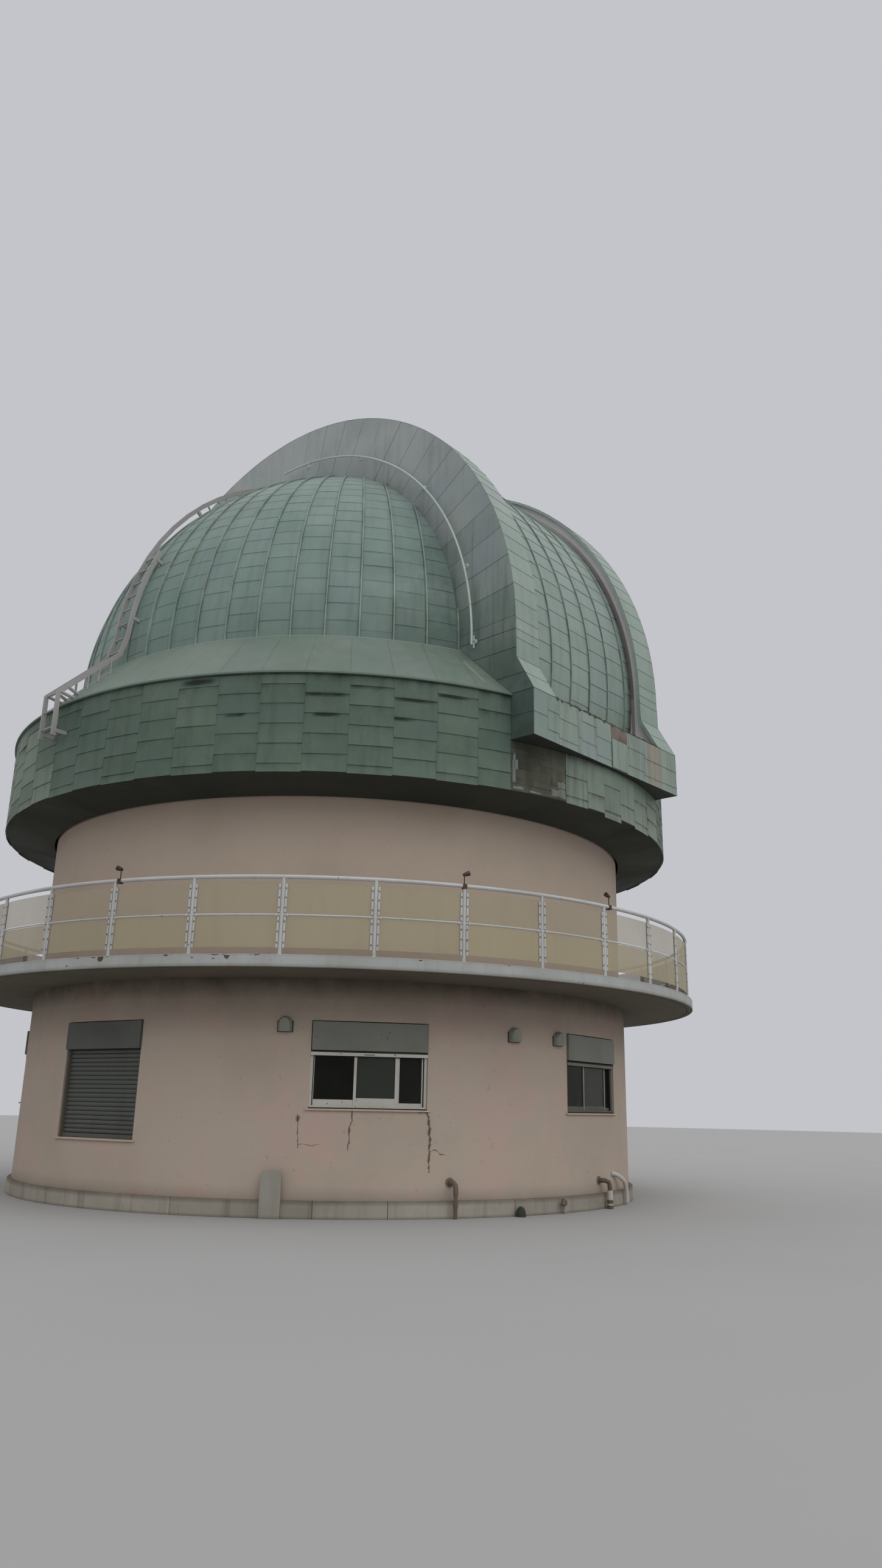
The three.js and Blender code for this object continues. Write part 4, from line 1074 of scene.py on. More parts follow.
# Dome: sheets with laps between standing seams
def makeDomeSheets():
    gore = {"first": 0.24, "angle": 6.0, "lap": 3.46, "even": 2.6, "odd": 0.87, "start": -1.0, "seamHigh": 0.036,
            "seamHalf": 0.019, "top": 84.0}
    # The seams' left flanks are painted dark as shade; their tops and right sides stay pale.
    seamDirt = (0.85, 0.5, 0.3, 1.0)     # dark on the left flank, pale on the top and the right

    def surface(u, v, h):
        return onDome(domeRadius + 0.001 + h, u, v)

    work = Work()
    rear = Work()
    for g in range(60):
        a0 = gore["first"] + gore["angle"] * g
        a1 = a0 + gore["angle"]
        first = gore["even"] if g % 2 == 0 else gore["odd"]
        laps = [gore["start"]]
        while first < gore["top"]:
            laps.append(first)
            first += gore["lap"]
        laps.append(gore["top"] + gore["lap"])
        for e0, e1 in zip(laps, laps[1:]):
            corners = onDome(domeRadius, np.array([a0, a0, a1, a1]), np.array([e0, e1, e0, e1]))
            outside = np.abs(corners[:, 0]).max() > archOuter - 0.02
            between = (np.abs(corners[:, 0]).min() < archInner + 0.05) and corners[:, 1].max() > 0.15
            if not outside and not between:
                continue
            vs = [e0, e0 + 0.06, (e0 + e1) / 2, e1 - 0.4, e1 - 0.16, e1 + 0.06]
            low = 0.005 + dice.uniform(0, 0.002)
            curl = dice.uniform(0.0, 0.002)

            def lift(s, t):
                return 0.003 + (low - 0.003) * (1 - t) + curl * (1 - t) ** 4 * np.sin(math.pi * s)

            target = work if outside else rear
            lapDirt = dice.uniform(0.1, 0.3)
            # Painted shade: sheets near the arch's foot are darkened, the more so the lower and closer they are.
            away = max(np.abs(corners[:, 0]).mean() - archOuter, 0)
            closeSoot = 0.65 * math.exp(-away / 1.2) * max(0.0, 1 - e0 / 60)

            # Sheets darken beside the seams, most by a seam's shaded left flank, and under the lap of the sheet above:
            # dirt with painted shade.
            def shade(s, t):
                dirt = closeSoot + 0.9 * (s > 0.999) + 0.5 * (s < 0.001) + lapDirt * np.clip((t - 0.88) / 0.06, 0, 1)
                return np.clip(dirt, 0, 1)

            target.patch(surface, inset(a0, a1, 0.3, 0.35), vs, lift, tone=dice.random(), shade=shade)
        base, high = domeRadius - 0.002, domeRadius + gore["seamHigh"]
        for target in (work, rear):
            run = []
            for e in [*np.linspace(gore["start"], gore["top"], 49), None]:      # None ends the last run
                if e is not None:
                    x, y, _ = onDome(domeRadius, a0, e)
                    shown = abs(x) > archOuter - 0.02 if target is work else abs(x) < archInner + 0.02 and y > 0.2
                    if shown:
                        wide = math.degrees(gore["seamHalf"] / (domeRadius * math.cos(math.radians(e))))
                        run.append(onDome([base, high, high, base], a0 + wide * ridge, e))
                        continue
                if len(run) > 1:
                    target.sweep(run, 0.6, 1, dirt=seamDirt)
                run = []
    for sheets, name in ((work, "dome_sheets"), (rear, "dome_rear_sheets")):
        sheets.finish(name, "dome", "domeCopper seamCopper", "dome_copper")


def outsideArches(radius):   # the azimuth where a round surface clears the arches
    return math.degrees(math.asin(archOuter / radius))


def makeApron():
    size = {"topRadius": 5.392, "top": 8.69, "foot": skirtRadius + 0.032, "footHeight": 7.662, "edge": 0.022}
    slope = math.hypot(size["foot"] - size["topRadius"], size["footHeight"] - size["top"])
    outX = (size["top"] - size["footHeight"]) / slope
    outZ = (size["foot"] - size["topRadius"]) / slope

    def surface(u, v, h):
        radius = size["foot"] + (size["topRadius"] - size["foot"]) * v + h * outX
        height = size["footHeight"] + (size["top"] - size["footHeight"]) * v + h * outZ
        return polar(radius, u, height)

    for side, name, node in ((1, "apron_right_sheets", "apron_right"), (-1, "apron_left_sheets", "apron_left")):
        work = Work()
        limitLow = outsideArches(size["foot"])
        limitHigh = outsideArches(size["topRadius"])
        joints = [side * (6 * k + 0.9) for k in range(3, 27)]
        between = [j for j in joints if limitHigh + 1 < abs(j) < 179 - limitHigh]
        edgesLow = [side * limitLow] + between + [side * (180 - limitLow)]
        edgesHigh = [side * limitHigh] + edgesLow[1:-1] + [side * (180 - limitHigh)]
        for (l0, l1), (h0, h1) in zip(zip(edgesLow, edgesLow[1:]), zip(edgesHigh, edgesHigh[1:])):
            if side < 0:
                l0, l1, h0, h1 = l1, l0, h1, h0

            def skewed(u, v, h):
                return surface((l0 + (l1 - l0) * u) * (1 - v) + (h0 + (h1 - h0) * u) * v, v, h)

            wave = dice.uniform(0.0, 0.004)

            def lift(s, t):
                return 0.002 + wave * np.sin(math.pi * s) * np.sin(math.pi * t) - 0.002 * (s > 0.99)

            steps = max(3, int(abs(l1 - l0) / 1.5))
            us = sorted({0.0, 0.03, 0.97, 1.0} | {k / steps for k in range(1, steps)})
            # The sheets darken along their laps, dirt with painted shade, and along their joints.
            work.patch(skewed, us, [0, 0.03, 0.35, 0.7, 0.97, 1.0], lift, 0.006, 0.4 + 0.3 * dice.random(),
                       shade=(0.45, 0.35, 0.15, 0.35))
        low = [(skirtRadius - 0.03, 7.641), (size["foot"] + 0.004, 7.641), (size["foot"] + 0.006, 7.664),
               (size["foot"] - 0.01, 7.668), (skirtRadius - 0.03, 7.66)]
        ends = sorted((side * limitLow, side * (180 - limitLow)))
        work.lathe(low, around(*ends), 0.4)
        ends = sorted((side * (limitHigh + 0.1), side * (180 - limitHigh - 0.1)))
        top = [(domeRadius + 0.002, 8.66), (size["topRadius"] + 0.004, 8.67), (size["topRadius"] + 0.004, 8.695),
               (domeRadius + 0.012, 8.71), (domeRadius + 0.002, 8.71)]
        work.lathe(top, around(*ends), 1.0, 1)
        rings = []
        for share in np.linspace(0, 1, 11):             # a brown run from the front arch's foot
            a = side * (24.5 - 1.4 * share)
            wide = 0.1 + 0.17 * math.sin(math.pi * share) + 0.05 * math.sin(19 * share)
            v = 0.67 - 0.54 * share
            rings.append(surface(a + wide * ridge, v, np.array([-0.004, 0.0085, 0.0085, -0.004])))
        work.sweep(rings, 0.5, 2)
        coats = "apronCopper seamCopper warmCopper"
        work.finish(name, "dome", coats, "dome_copper", [node])


def makeSkirt():
    size = {"base": skirtRadius - 0.006, "first": -0.8, "angle": 6.0}
    evenLaps = [7.335, 7.02, 6.705, 6.39]
    oddLaps = [7.48, 7.17, 6.857, 6.545, 6.235]
    boxHalf = math.degrees(math.asin(archOuter / skirtRadius)) + 0.02

    def surface(u, v, h):
        return polar(size["base"] + h, u, v)

    # Black smudges under some laps: azimuth and height of the middle, half width and half height
    smudges = [(296.1, 7.555, 2.3, 0.045), (313.9, 7.312, 2.5, 0.026), (319.8, 7.462, 2.7, 0.016),
               (325.6, 7.312, 2.8, 0.024), (314.1, 6.996, 1.5, 0.024), (324.2, 6.998, 1.6, 0.024),
               (302.0, 6.99, 1.2, 0.02), (331.5, 7.44, 2.2, 0.02)]
    work = Work()

    def addSheet(a0, a1, z0, z1, top, slot=0, tone=None):
        tone = dice.random() if tone is None else tone
        flare = dice.uniform(0.0, 0.003)
        phase = dice.uniform(0, math.pi)

        def lift(s, t):
            wave = 0.6 + 0.4 * np.sin(2 * math.pi * s + phase)
            return 0.003 + 0.0045 * (1 - t) + flare * (1 - t) ** 6 * wave

        us = np.concatenate([[a0, a0 + 0.08], np.linspace(a0, a1, 8)[1:-1], [a1 - 0.08, a1]])
        vs = [z0 - 0.008, z0 + 0.004, z0 + 0.04, z1 - 0.14, z1 - 0.075, z1 - 0.035, z1 - 0.012, z1]
        strength = dice.choice((0.3, 0.6, 1.3)) if top else dice.uniform(0.1, 0.5)
        smudge = np.array([dice.uniform(0.2, 1.0) for _ in us])[:, None]
        lapDirt = dice.uniform(0.4, 0.8)

        # Darker just under the lap of the sheet above, the more so on the top rows: dirt with painted shade. The last
        # side is a dark joint; the listed smudges are black marks.
        def shade(s, t):
            below = (1 - t) * (z1 - z0)            # metres under the sheet above
            dirt = smudge * strength * np.exp(-below / 0.06)
            dirt = np.maximum(dirt, lapDirt * np.clip((0.036 - below) / 0.022, 0, 1))
            dirt = np.maximum(dirt, 0.5 * (s > 0.999))
            for azimuth, height, halfWide, halfHigh in smudges:
                off = ((a0 + (a1 - a0) * s) % 360 - azimuth) / halfWide
                dirt = dirt + 1.6 * np.exp(-off ** 4 - ((z1 - below - height) / halfHigh) ** 2)
            return np.clip(dirt, 0, 1.4)

        work.patch(surface, us, sorted(vs), lift, 0.003, tone, slot, shade)

    for k in range(60):
        a0 = size["first"] + size["angle"] * k
        a1 = a0 + size["angle"]
        laps = [skirtTop] + (evenLaps if k % 2 == 0 else oddLaps) + [skirtBottom]
        for row, (z1, z0) in enumerate(zip(laps, laps[1:])):
            spans = [(a0, a1)]
            for edge in (0, 180, 360):
                left, right = edge - boxHalf, edge + boxHalf
                if a0 < right and a1 > left:      # cut where a sill box stands; the rear one has sheets below it
                    spans = [(s0, s1) for s0, s1 in ((a0, left), (right, a1)) if s1 - s0 > 0.6]
                    inner0, inner1 = max(a0, left), min(a1, right)
                    if edge == 180 and z0 < sillBottom - 0.05 and inner1 - inner0 > 0.6:
                        addSheet(inner0, inner1, z0, min(z1, sillBottom - 0.003), False)
            for s0, s1 in spans:
                washed = 226 < a0 < 264 and dice.random() < 0.7     # paler, streaked sheets round the ladder
                addSheet(s0, s1, z0, z1, row < 2, 2 if washed else 0, 0.3 * dice.random() if washed else None)
    # Below the front sill the columns are narrower, and one stretch has lost its sheets
    columns = [(-9.8, -5.2, [6.56, 6.235]), (-5.2, -1.2, [6.39]), (-1.2, 3.4, [6.62, 6.19]), (3.4, 8.0, [6.40]),
               (8.0, 13.6, [6.60, 6.22]), (13.6, boxHalf, [6.70, 6.42])]
    for a0, a1, laps in columns:
        edges = [sillBottom - 0.003] + laps + [skirtBottom + 0.009]
        for z1, z0 in zip(edges, edges[1:]):
            addSheet(a0, a1, z0, z1, True, 2, dice.uniform(0.1, 0.5) + 0.45 * (z0 < skirtBottom + 0.02))
    bead = [(skirtRadius - 0.012, skirtBottom), (skirtRadius - 0.001, skirtBottom + 0.002),
            (skirtRadius, skirtBottom + 0.012), (skirtRadius - 0.004, skirtBottom + 0.022),
            (skirtRadius - 0.012, skirtBottom + 0.022)]
    work.lathe(bead, around(-9.8, 360 - boxHalf), 0.8, 1)
    coats = "skirtCopper sillCopper lowCopper"
    work.finish("skirt_sheets", "dome", coats, "dome_copper", ["skirt"])
    inner = skirtRadius - 0.03
    outer = skirtRadius - 0.012
    back = Work()
    for edge in (0.0, 180.0):
        for top, a0, a1 in ((skirtTop, boxHalf, 180 - boxHalf), (sillBottom - 0.002, -boxHalf, boxHalf)):
            profile = [(inner, skirtBottom), (outer, skirtBottom), (outer, top), (inner, top)]
            back.lathe(profile, around(edge + a0, edge + a1))
    z = skirtBottom + 0.004
    while z < sillBottom - 0.03:
        high = min(z + dice.uniform(0.07, 0.15), sillBottom - 0.004)
        a = -boxHalf + 0.05
        while a < -9.9:
            wide = min(dice.uniform(1.5, 5.0), -9.85 - a)
            deep = dice.uniform(0.0, 0.006)
            rim, foot = outer + deep, outer - 0.004
            profile = [(foot, z), (rim, z + 0.004), (rim, high - 0.004), (foot, high)]
            back.lathe(profile, around(a, a + wide, 1.0), dice.uniform(0.3, 0.7))
            a += wide + 0.03
        z = high + dice.uniform(0.004, 0.012)
    for a0, a1, z0, z1 in ((-19.4, -18.9, 6.2, 6.75), (-19.1, -18.5, 6.45, 6.62), (-19.3, -17.6, 6.14, 6.2),
                           (-12.6, -9.9, 6.14, 6.3), (-11.4, -9.9, 6.3, 6.42), (-16.5, -14.6, 6.13, 6.16)):
        rings = []
        for share in np.linspace(0, 1, 6):
            a = a0 + (a1 - a0) * share
            top = z1 - dice.uniform(0.0, 0.3) * (z1 - z0)
            low = z0 + dice.uniform(0.0, 0.15) * (z1 - z0)
            rings.append(polar([outer, outer + 0.008, outer + 0.008, outer], a, [low, low, top, top]))
        back.sweep(rings, 0.4, 1, dirt=0.55)
    back.finish("skirt_boards", "dome", "boards sillCopper", "dark_steel")


# Arches: sheets, with boards behind them
def addBand(work, radii, angles, xs, tone=0.5, slot=0, dirt=0.0):
    (r0, r1), (x0, x1) = radii, sorted(xs)
    count = max(1, int(math.ceil(abs(angles[1] - angles[0]) / 1.25)))
    run = np.linspace(angles[0], angles[1], count + 1)[:, None]
    work.sweep(sideArc([r0, r1, r1, r0], run, [x0, x0, x1, x1]), tone, slot, dirt=dirt)


def addLegs(work, xs, back, front, slot, dirt=0.0):
    # The straight part below the horizon, front and rear; back and front turn the leg's reach into depths
    x0, x1 = sorted(xs)
    for way in (-1, 1):
        rings = []
        for z in (sillTop + 0.001, flareTop, domeCentre):
            y0, y1 = way * back(legReach(z)), way * front(legReach(z))
            rings.append([(x0, y0, z), (x1, y0, z), (x1, y1, z), (x0, y1, z)])
        work.sweep(rings, slot=slot, dirt=dirt)


def legReach(height):        # how far the leg's face stands out at a height below the dome's centre
    lean = legLean * (domeCentre - height) / (domeCentre - flareTop)
    flare = legLean + (sillFace - archRadius - legLean) * (flareTop - height) / (flareTop - sillTop)
    return archRadius + np.where(np.asarray(height) >= flareTop, lean, flare)


def splitArc(first, step, last):      # laps from the front foot to the top, and the same down the rear
    angles = [last]
    while first < 90 - step / 2:
        angles.append(first)
        first += step
    angles += [180 - v for v in reversed(angles)]
    return list(zip(angles, angles[1:]))


def makeArch(side, name, node):
    work = Work()
    outer = side * archOuter
    inner = side * archInner
    domeEdge = math.sqrt(domeRadius ** 2 - archOuter ** 2) - 0.02
    cheekFace = archOuter - 0.007

    # Cheek sheets: u runs outwards, v round the arch; below the horizon the rows are level
    def cheek(u, v, h):
        return sideArc(domeEdge + (archRadius - 0.002 - domeEdge) * u, np.clip(v, 0, 180), side * (cheekFace + h))

    for v0, v1 in splitArc(2.2, 5.43, 0.0):
        rear = v0 >= 90
        flat = dice.uniform(0.0, 0.002)
        lapDirt = 0.9 if v0 < 55 or v0 > 125 else 0.1

        def shade(s, t):      # soot where the cheek meets the dome; dirt and painted shade along the laps
            fade = np.clip(1 - s / 0.26, 0, 1)
            return np.maximum(0.8 * fade, lapDirt * ((t < 0.001) if rear else (t > 0.999)))

        vs = sorted({*np.linspace(v0, v1, 3 if v1 - v0 < 4 else 5).tolist(), v0 + 0.08, v1 - 0.08})
        us = [0.0, 0.04, 0.1, 0.17, 0.25, 0.6, 0.99, 1.0]
        work.patch(cheek, us, vs, lap(0.002 + flat, 0.004, rear), tone=dice.random(), shade=shade)
    levels = [domeCentre, 8.45, 7.985, sillTop + 0.001]
    for way in (-1, 1):

        def leg(u, v, h):
            return spread(side * (cheekFace + h), way * (domeEdge + (legReach(v) - 0.002 - domeEdge) * u), v)

        # The leg sheets darken under each lap: dirt with painted shade.
        for z1, z0 in zip(levels, levels[1:]):
            for u0, u1 in ((0.0, 0.55), (0.55, 1.0)):
                vs = [z0, z0 + 0.01] + [flareTop] * (z0 < flareTop < z1) + [z1 - 0.02, z1]
                work.patch(leg, inset(u0, u1, 0.008, 0.008), vs, lap(0.002, 0.005), tone=dice.random(),
                           shade=(0.6, 0.2, 0.35, 0.35))
    # Strip over the top of the arch, its laps across; it reaches over the shutter's edge
    x0, x1 = sorted((outer, side * rimEdge))
    us = inset(x0, x1, 0.012, 0.012)

    def strip(u, v, h):
        return sideArc(archRadius - 0.008 + h, v, u)

    # The strip darkens along its laps: dirt with painted shade.
    for v0, v1 in splitArc(1.8, 3.05, -0.01):
        rear = v0 >= 90
        shade = (0.1, 0.5, 0.15, 0.15) if rear else (0.5, 0.1, 0.15, 0.15)
        vs = sorted(set(inset(v0, v1, 0.12, 0.12)))
        work.patch(strip, us, vs, lap(0.002, 0.005, rear), 0.004, dice.random(), 1, shade)
    levels = [domeCentre, 8.62, flareTop, 7.97, sillTop + 0.001]
    for way in (-1, 1):

        def face(u, v, h):
            return spread(u, way * (legReach(v) - 0.008 + h), v)

        # The face sheets darken under each lap: dirt with painted shade.
        for z1, z0 in zip(levels, levels[1:]):
            work.patch(face, us, inset(z0, z1, 0.01, 0.02), lap(0.002, 0.005), 0.004, dice.random(), 1,
                       (0.4, 0.1, 0.15, 0.15))
    # Boards behind the sheets
    bandX = (side * (archOuter - 0.008), side * (archOuter - 0.022))
    boardX = (side * (archOuter - 0.009), side * (rimEdge + 0.002))
    addBand(work, (domeEdge, archRadius - 0.02), (0, 180), bandX, slot=3)
    addBand(work, (archRadius - 0.03, archRadius - 0.011), (0, 180), boardX, slot=3)
    addLegs(work, bandX, lambda reach: domeEdge, lambda reach: reach - 0.012, 3)
    addLegs(work, boardX, lambda reach: reach - 0.031, lambda reach: reach - 0.011, 3)
    # Inner cheek: a smooth painted lip, with the rim's turned-down edge in front of it
    innerDome = math.sqrt(domeRadius ** 2 - archInner ** 2) - 0.02
    lipX = (inner, inner + side * 0.02)
    edgeX = (side * rimEdge, side * (rimEdge + 0.007))
    addBand(work, (innerDome, archRadius - 0.012), (0, 180), lipX, slot=2, dirt=1.0)

    def lipFace(u, v, h):
        return sideArc(u, v, inner - side * h)

    def lipShade(s, t):      # dark beside the leaf, the more so lower down
        low = 90 - np.abs(t * 180 - 90)
        return np.clip((72 - low) / 45, 0, 1) * np.clip((0.56 - s) / 0.05, 0, 1) + 0.2 * np.clip((40 - low) / 40, 0, 1)

    us = [5.7, 5.83, 5.87, 5.89, 5.91, 6.0, archRadius - 0.012]
    work.patch(lipFace, us, np.linspace(0, 180, 73), lap(0.002, 0), 0.002, 0.5, 2, lipShade)
    for way in (-1, 1):
        levels = [sillTop + 0.002, flareTop, domeCentre]
        for z0, z1 in zip(levels, levels[1:]):
            # The band next to the leaf is painted dark as shade, as on the lip's face.
            for y0, y1, dirt in ((5.83, 5.9, 1.0), (5.9, 6.06, 0.2)):
                work.patch(lambda u, v, h: spread(inner - side * h, way * u, v), [y0, (y0 + y1) / 2, y1],
                           [z0, (z0 + z1) / 2, z1], lap(0.002, 0), 0.002, 0.5, 2, lambda s, t: dirt)
    addBand(work, (archRadius - 0.05, archRadius - 0.006), (0, 180), edgeX, 0.9, 1)
    addLegs(work, lipX, lambda reach: innerDome, lambda reach: reach - 0.012, 2, 0.3)
    addLegs(work, edgeX, lambda reach: reach - 0.062, lambda reach: reach - 0.012, 1)
    addBand(work, (5.62, 5.70), (-7.5, 187.5), (inner + side * 0.015, inner - side * 0.06), slot=4)
    addBand(work, (5.76, 5.815), (-6, 186), (inner, inner - side * 0.012), slot=4)    # felt against the leaf
    work.finish(name, "dome", "cheekCopper stripCopper lipPaint boards darkSteel", "arch_copper", [node])


def makeSill(way, name, node):
    # way -1 is the front; the rear repeats it, turned about the axis
    work = Work()

    def front(u, v, h):
        return spread(-way * u, way * (sillFace - 0.008 + h), v)

    # Sheets across the front face: (x from, x to, lap heights, tone, material slot)
    sheets = [
        (-2.14, -1.78, [7.30], 0.13, 0), (-1.78, -1.475, [7.42, 7.1], 0.13, 0), (-1.475, -0.955, [7.37, 7.04], 0.6, 0),
        (-0.955, -0.85, [7.2], 0.5, 0), (-0.85, -0.425, [7.50, 7.17], 0.94, 0), (-0.425, 0.01, [7.36, 7.04], 0.5, 0),
        (0.50, 1.06, [7.42, 7.10], 0.75, 0), (1.06, 1.16, [7.36, 7.05], 0.45, 0), (1.16, 1.25, [7.36, 7.05], 0.5, 1),
        (1.25, 1.62, [7.36, 7.05], 0.6, 5), (1.62, 2.14, [7.36, 7.06], 0.75, 0),
    ]
    for x0, x1, laps, tone, slot in sheets:
        edges = [sillTop] + laps + [sillBottom]
        for z1, z0 in zip(edges, edges[1:]):
            bulge = dice.uniform(0.0, 0.004)

            def lift(s, t):
                return 0.001 + 0.005 * (1 - t) ** 2 + bulge * np.sin(math.pi * s) * (1 - t)

            # The sheets darken under each lap: dirt with painted shade.
            vs = [z0 - 0.004 if z0 > sillBottom else z0, z0 + 0.012, (z0 + z1) / 2, z1 - 0.015, z1]
            work.patch(front, inset(x0, x1, 0.01, 0.01), vs, lift, tone=tone + dice.uniform(-0.03, 0.03), slot=slot,
                       shade=(0.6, 0.15, 0.15, 0.4))
    # The mended stretch: a warm sheet on top, one at the foot, and a thick plate over the gap between them
    us = inset(0.01, 0.50, 0.01, 0.01)
    work.patch(front, us, [7.44, 7.46, 7.56, 7.66, sillTop], lap(0.001, 0), slot=5,
               shade=lambda s, t: 0.75 + 0.25 * (t < 0.1))
    work.patch(front, us, [sillBottom, sillBottom + 0.01, 6.93], lap(0.001, 0), shade=(0.5, 0.3, 0.4, 0.4))
    # The plate's sides are painted dark as shadow lines.
    work.patch(front, [0.02, 0.03, 0.255, 0.482, 0.492], [6.93, 6.94, 7.2, 7.425, 7.435],
               lambda s, t: 0.016 + 0.004 * (1 - t), 0.018, 0.75, shade=(0.1, 0.1, 0.5, 0.5))
    # A dark ragged strip stands above the sheets, with torn notches under it
    x = -archInner
    while x < archInner - 0.02:
        wide = dice.uniform(0.03, 0.11)
        top = sillTop + dice.uniform(0.006, 0.03)
        work.box((-way * x, way * (sillFace - 0.024), sillTop - 0.006),
                 (-way * min(x + wide, archInner), way * (sillFace - 0.006), top), slot=4)
        x += wide
    for x in (-1.52, -1.39, -1.16, -0.91, -0.62, -0.46, -0.19, 0.05, 0.37):
        wide = dice.uniform(0.016, 0.028)
        work.box((-way * (x - wide), way * (sillFace - 0.02), sillTop - dice.uniform(0.02, 0.035)),
                 (-way * (x + wide), way * (sillFace + 0.003), sillTop + 0.004), slot=4)
    # Cheeks of the box, its underside and its top
    half = archOuter - 0.008
    for side in (-1, 1):
        for y0, y1 in ((4.9, 5.62), (5.62, 6.0), (6.0, sillFace - 0.004)):
            for z0, z1 in ((sillBottom, 7.3), (7.3, sillTop)):
                work.patch(lambda u, v, h: spread(side * (half + 0.001 + h), way * u, v), inset(y0, y1, 0.01, 0.01),
                           inset(z0, z1, 0.01, 0.02), lap(0.001, 0.005), tone=0.15 * dice.random(), slot=2,
                           shade=lambda s, t: 0.4 + 0.3 * (t > 0.99))
    low, high = sorted((way * 4.6, way * (sillFace - 0.009)))
    work.box((-half, low, sillBottom + 0.004), (half, high, sillBottom + 0.03), slot=3)
    work.box((-half, low, sillTop - 0.03), (half, high, sillTop - 0.002), slot=2)
    work.box((-half, way * (sillFace - 0.03), sillBottom + 0.03),
             (half, way * (sillFace - 0.0095), sillTop - 0.03), slot=3)
    for side in (-1, 1):
        y0, y1 = (low + 0.3, high) if way > 0 else (low, high - 0.3)
        work.box((side * half, y0, sillBottom + 0.03), (side * (half - 0.02), y1, sillTop - 0.03), slot=3)
    work.finish(name, "dome", "sillCopper rustCopper cheekCopper darkSteel boards warmCopper", "dome_copper", [node])


def makeShutter():
    ribs = [-1.41, -0.85, -0.28, 0.28, 0.85, 1.41]
    offsets = [-2.0, -1.2, -3.74, -2.36, -0.98, -0.6, -2.6]
    step = 3.24
    work = Work()
    start, end = shutterAngles
    edges = [-shutterHalf] + ribs + [shutterHalf]

    def surface(u, v, h):
        return sideArc(shutterRadius + 0.001 + h, v, u)

    for (x0, x1), offset in zip(zip(edges, edges[1:]), offsets):
        laps = [start]
        a = offset - step * 3
        while a < end - 1.0:
            if a > start + 0.8:
                laps.append(a)
            a += step
        laps.append(end)
        for v0, v1 in zip(laps, laps[1:]):
            us = [x0, x0 + 0.012, (x0 + x1) / 2, x1 - 0.07, x1 - 0.012, x1]
            stain = 0.8 if x1 == shutterHalf else 0.0        # the right edge is stained
            bulge = dice.uniform(0, 0.003)

            def lift(s, t):
                return 0.002 + 0.006 * (1 - t) ** 2 + bulge * np.sin(math.pi * s)

            # Darker under the lap of the sheet above and beside the rib on its last side: dirt with painted shade.
            def shade(s, t):
                edge = np.maximum(0.45 * (t > 0.999), 0.4 * (s > 0.999))
                return np.maximum(np.maximum(edge, 0.1 * (s < 0.001)), stain * (s > 0.6))

            work.patch(surface, us, inset(v0, v1, 0.1, 0.2), lift, tone=dice.random(), shade=shade)
    foot, top = shutterRadius, shutterRadius + 0.03
    run = np.linspace(start + 0.05, end - 0.05, 72)[:, None]
    for x in ribs:
        rings = sideArc([foot, top, top, foot], run, x + np.array([-0.014, -0.009, 0.009, 0.014]))
        # The ribs' left flanks are painted dark as shade; their tops stay pale.
        work.sweep(rings, 0.6, 1, dirt=(0.9, 0.6, 0.0, 0.5))
    # Torn bits of flashing along the foot of the leaf
    x = -shutterHalf + 0.05
    foot, top = shutterRadius - 0.004, shutterRadius + 0.012
    while x < shutterHalf - 0.1:
        wide = dice.uniform(0.03, 0.12)
        run = np.array([[start - dice.uniform(0.1, 0.35)], [start + 0.3]])
        work.sweep(sideArc([foot, top, top, foot], run, [x, x + 0.005, x + wide, x + wide + 0.01]), 0.3, 1, dirt=0.9)
        x += wide + dice.uniform(0.05, 0.3)
    work.finish("shutter_sheets", "shutter", "shutterCopper stripCopper", "dome_copper")


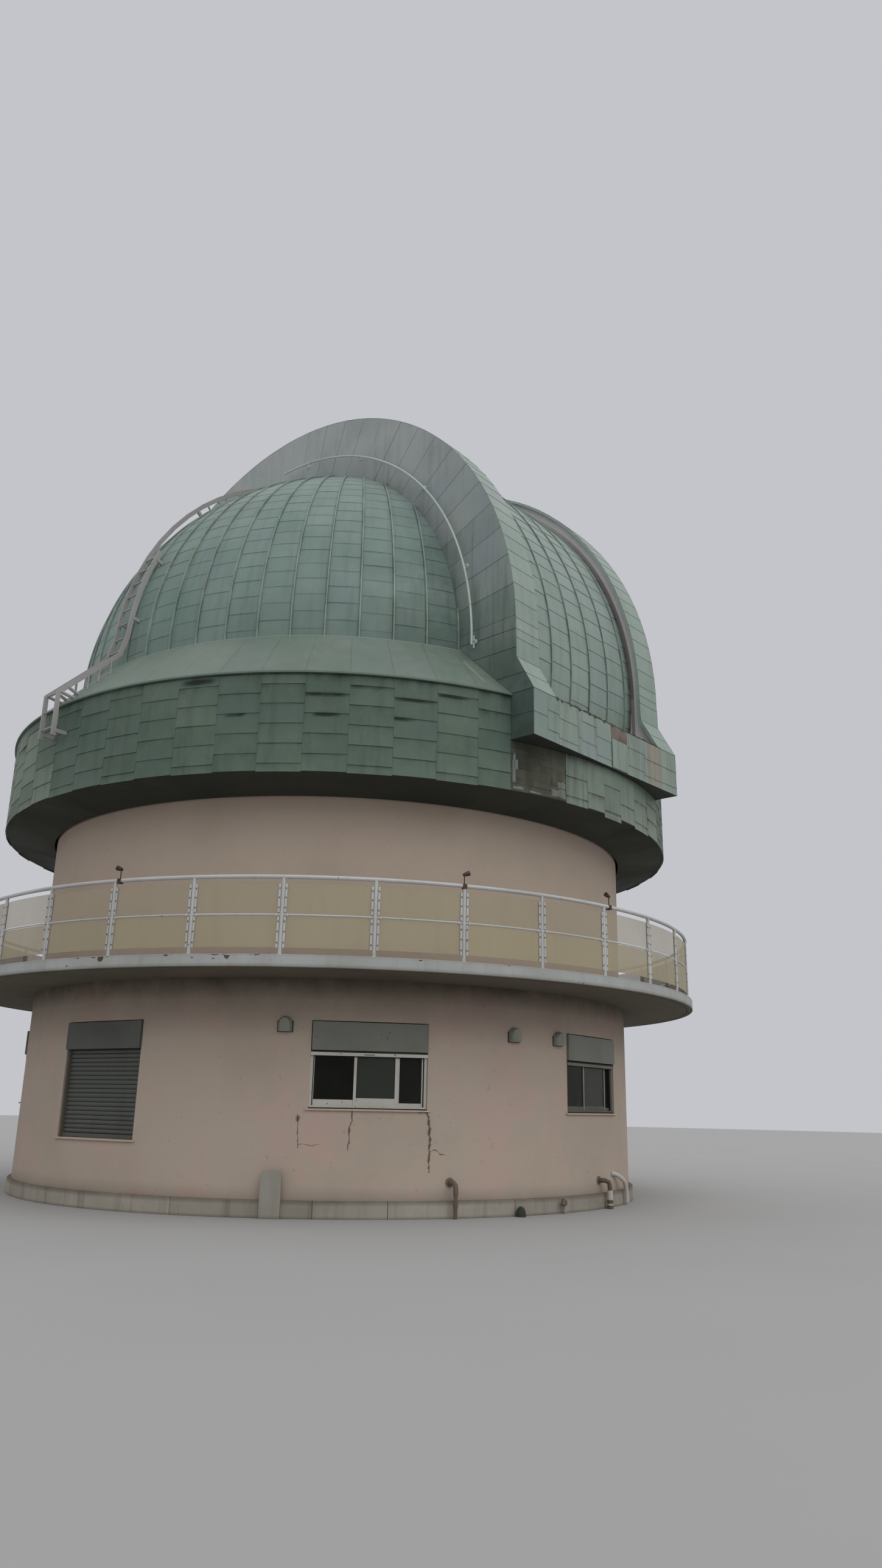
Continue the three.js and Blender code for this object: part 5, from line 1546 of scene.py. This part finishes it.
def makeGrabRail():
    size = {"radius": 5.25, "away": 0.1, "pipe": 0.019}
    radius, x = size["radius"], -archOuter - size["away"]
    work = Work()
    work.pipe(sideArc(radius, np.linspace(-1, 89, 73), x), size["pipe"])
    for a in (0, 16, 40, 64, 82):        # stays with round foot plates
        foot, tip = sideArc(radius, a, -archOuter + 0.004), sideArc(radius, a, x)
        work.pipe([foot, (foot + tip) / 2, tip], 0.013, sides=10)
        work.pipe([foot, sideArc(radius, a, -archOuter - 0.008)], 0.04, sides=14)
    work.pipe([(-archOuter - 0.02, -radius + 0.02, domeCentre + z) for z in (-0.12, 0.1)], 0.015, sides=8)
    work.finish("grab_pipe", "dome", "grabPaint", "ladder_steel", ["grab_rail"])


def makeLadderStays():
    # Short stays under the ladder: on the dome, under the slope over the apron, and two braces at its knee
    stays = [((-6.08, 7.98), (-6.08, 8.25)), ((-5.9, 8.165), (-5.9, 8.43)), ((-5.7, 8.365), (-5.7, 8.63)),
             ((-6.22, 7.84), (-6.42, 7.92)), ((-6.3, 7.76), (-6.54, 7.8))]
    work = Work()
    for y in (0.19, -0.19):
        for angle in ((45.2, 48.5, 50.7) if y > 0 else ()):
            rise = math.radians(angle)
            ends = [(-r * math.cos(rise), y, domeCentre + r * math.sin(rise)) for r in (domeRadius, domeRadius + 0.13)]
            work.pipe(ends, 0.017, sides=8)
        for (x0, z0), (x1, z1) in stays:
            work.pipe([(x0, y, z0), (x1, y, z1)], 0.028 if x0 < -6.1 else 0.02, sides=8)
    work.finish("ladder_stays", "dome", "ladderPaint", "ladder_steel")


def dressNodes():
    looks = {
        "dome_shell": "linerPaint", "shutter": "shutterCopper", "skirt_soffit": "darkSteel", "wheel_ring": "darkSteel",
        "track": "darkSteel", "ladder": "ladderPaint", "ground_door": "doorPaint", "balcony_door": "doorPaint",
    }
    for name, coat in looks.items():
        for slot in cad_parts[name].material_slots:
            slot.material = bpy.data.materials[coat]


makeDomeSheets()
makeApron()
makeSkirt()
makeArch(-1, "arch_left_cladding", "arch_left")
makeArch(1, "arch_right_cladding", "arch_right")
makeSill(-1, "front_sill_cladding", "front_sill")
makeSill(1, "rear_sill_cladding", "rear_sill")
makeShutter()
makeGrabRail()
makeLadderStays()
dressNodes()
print("dome made")
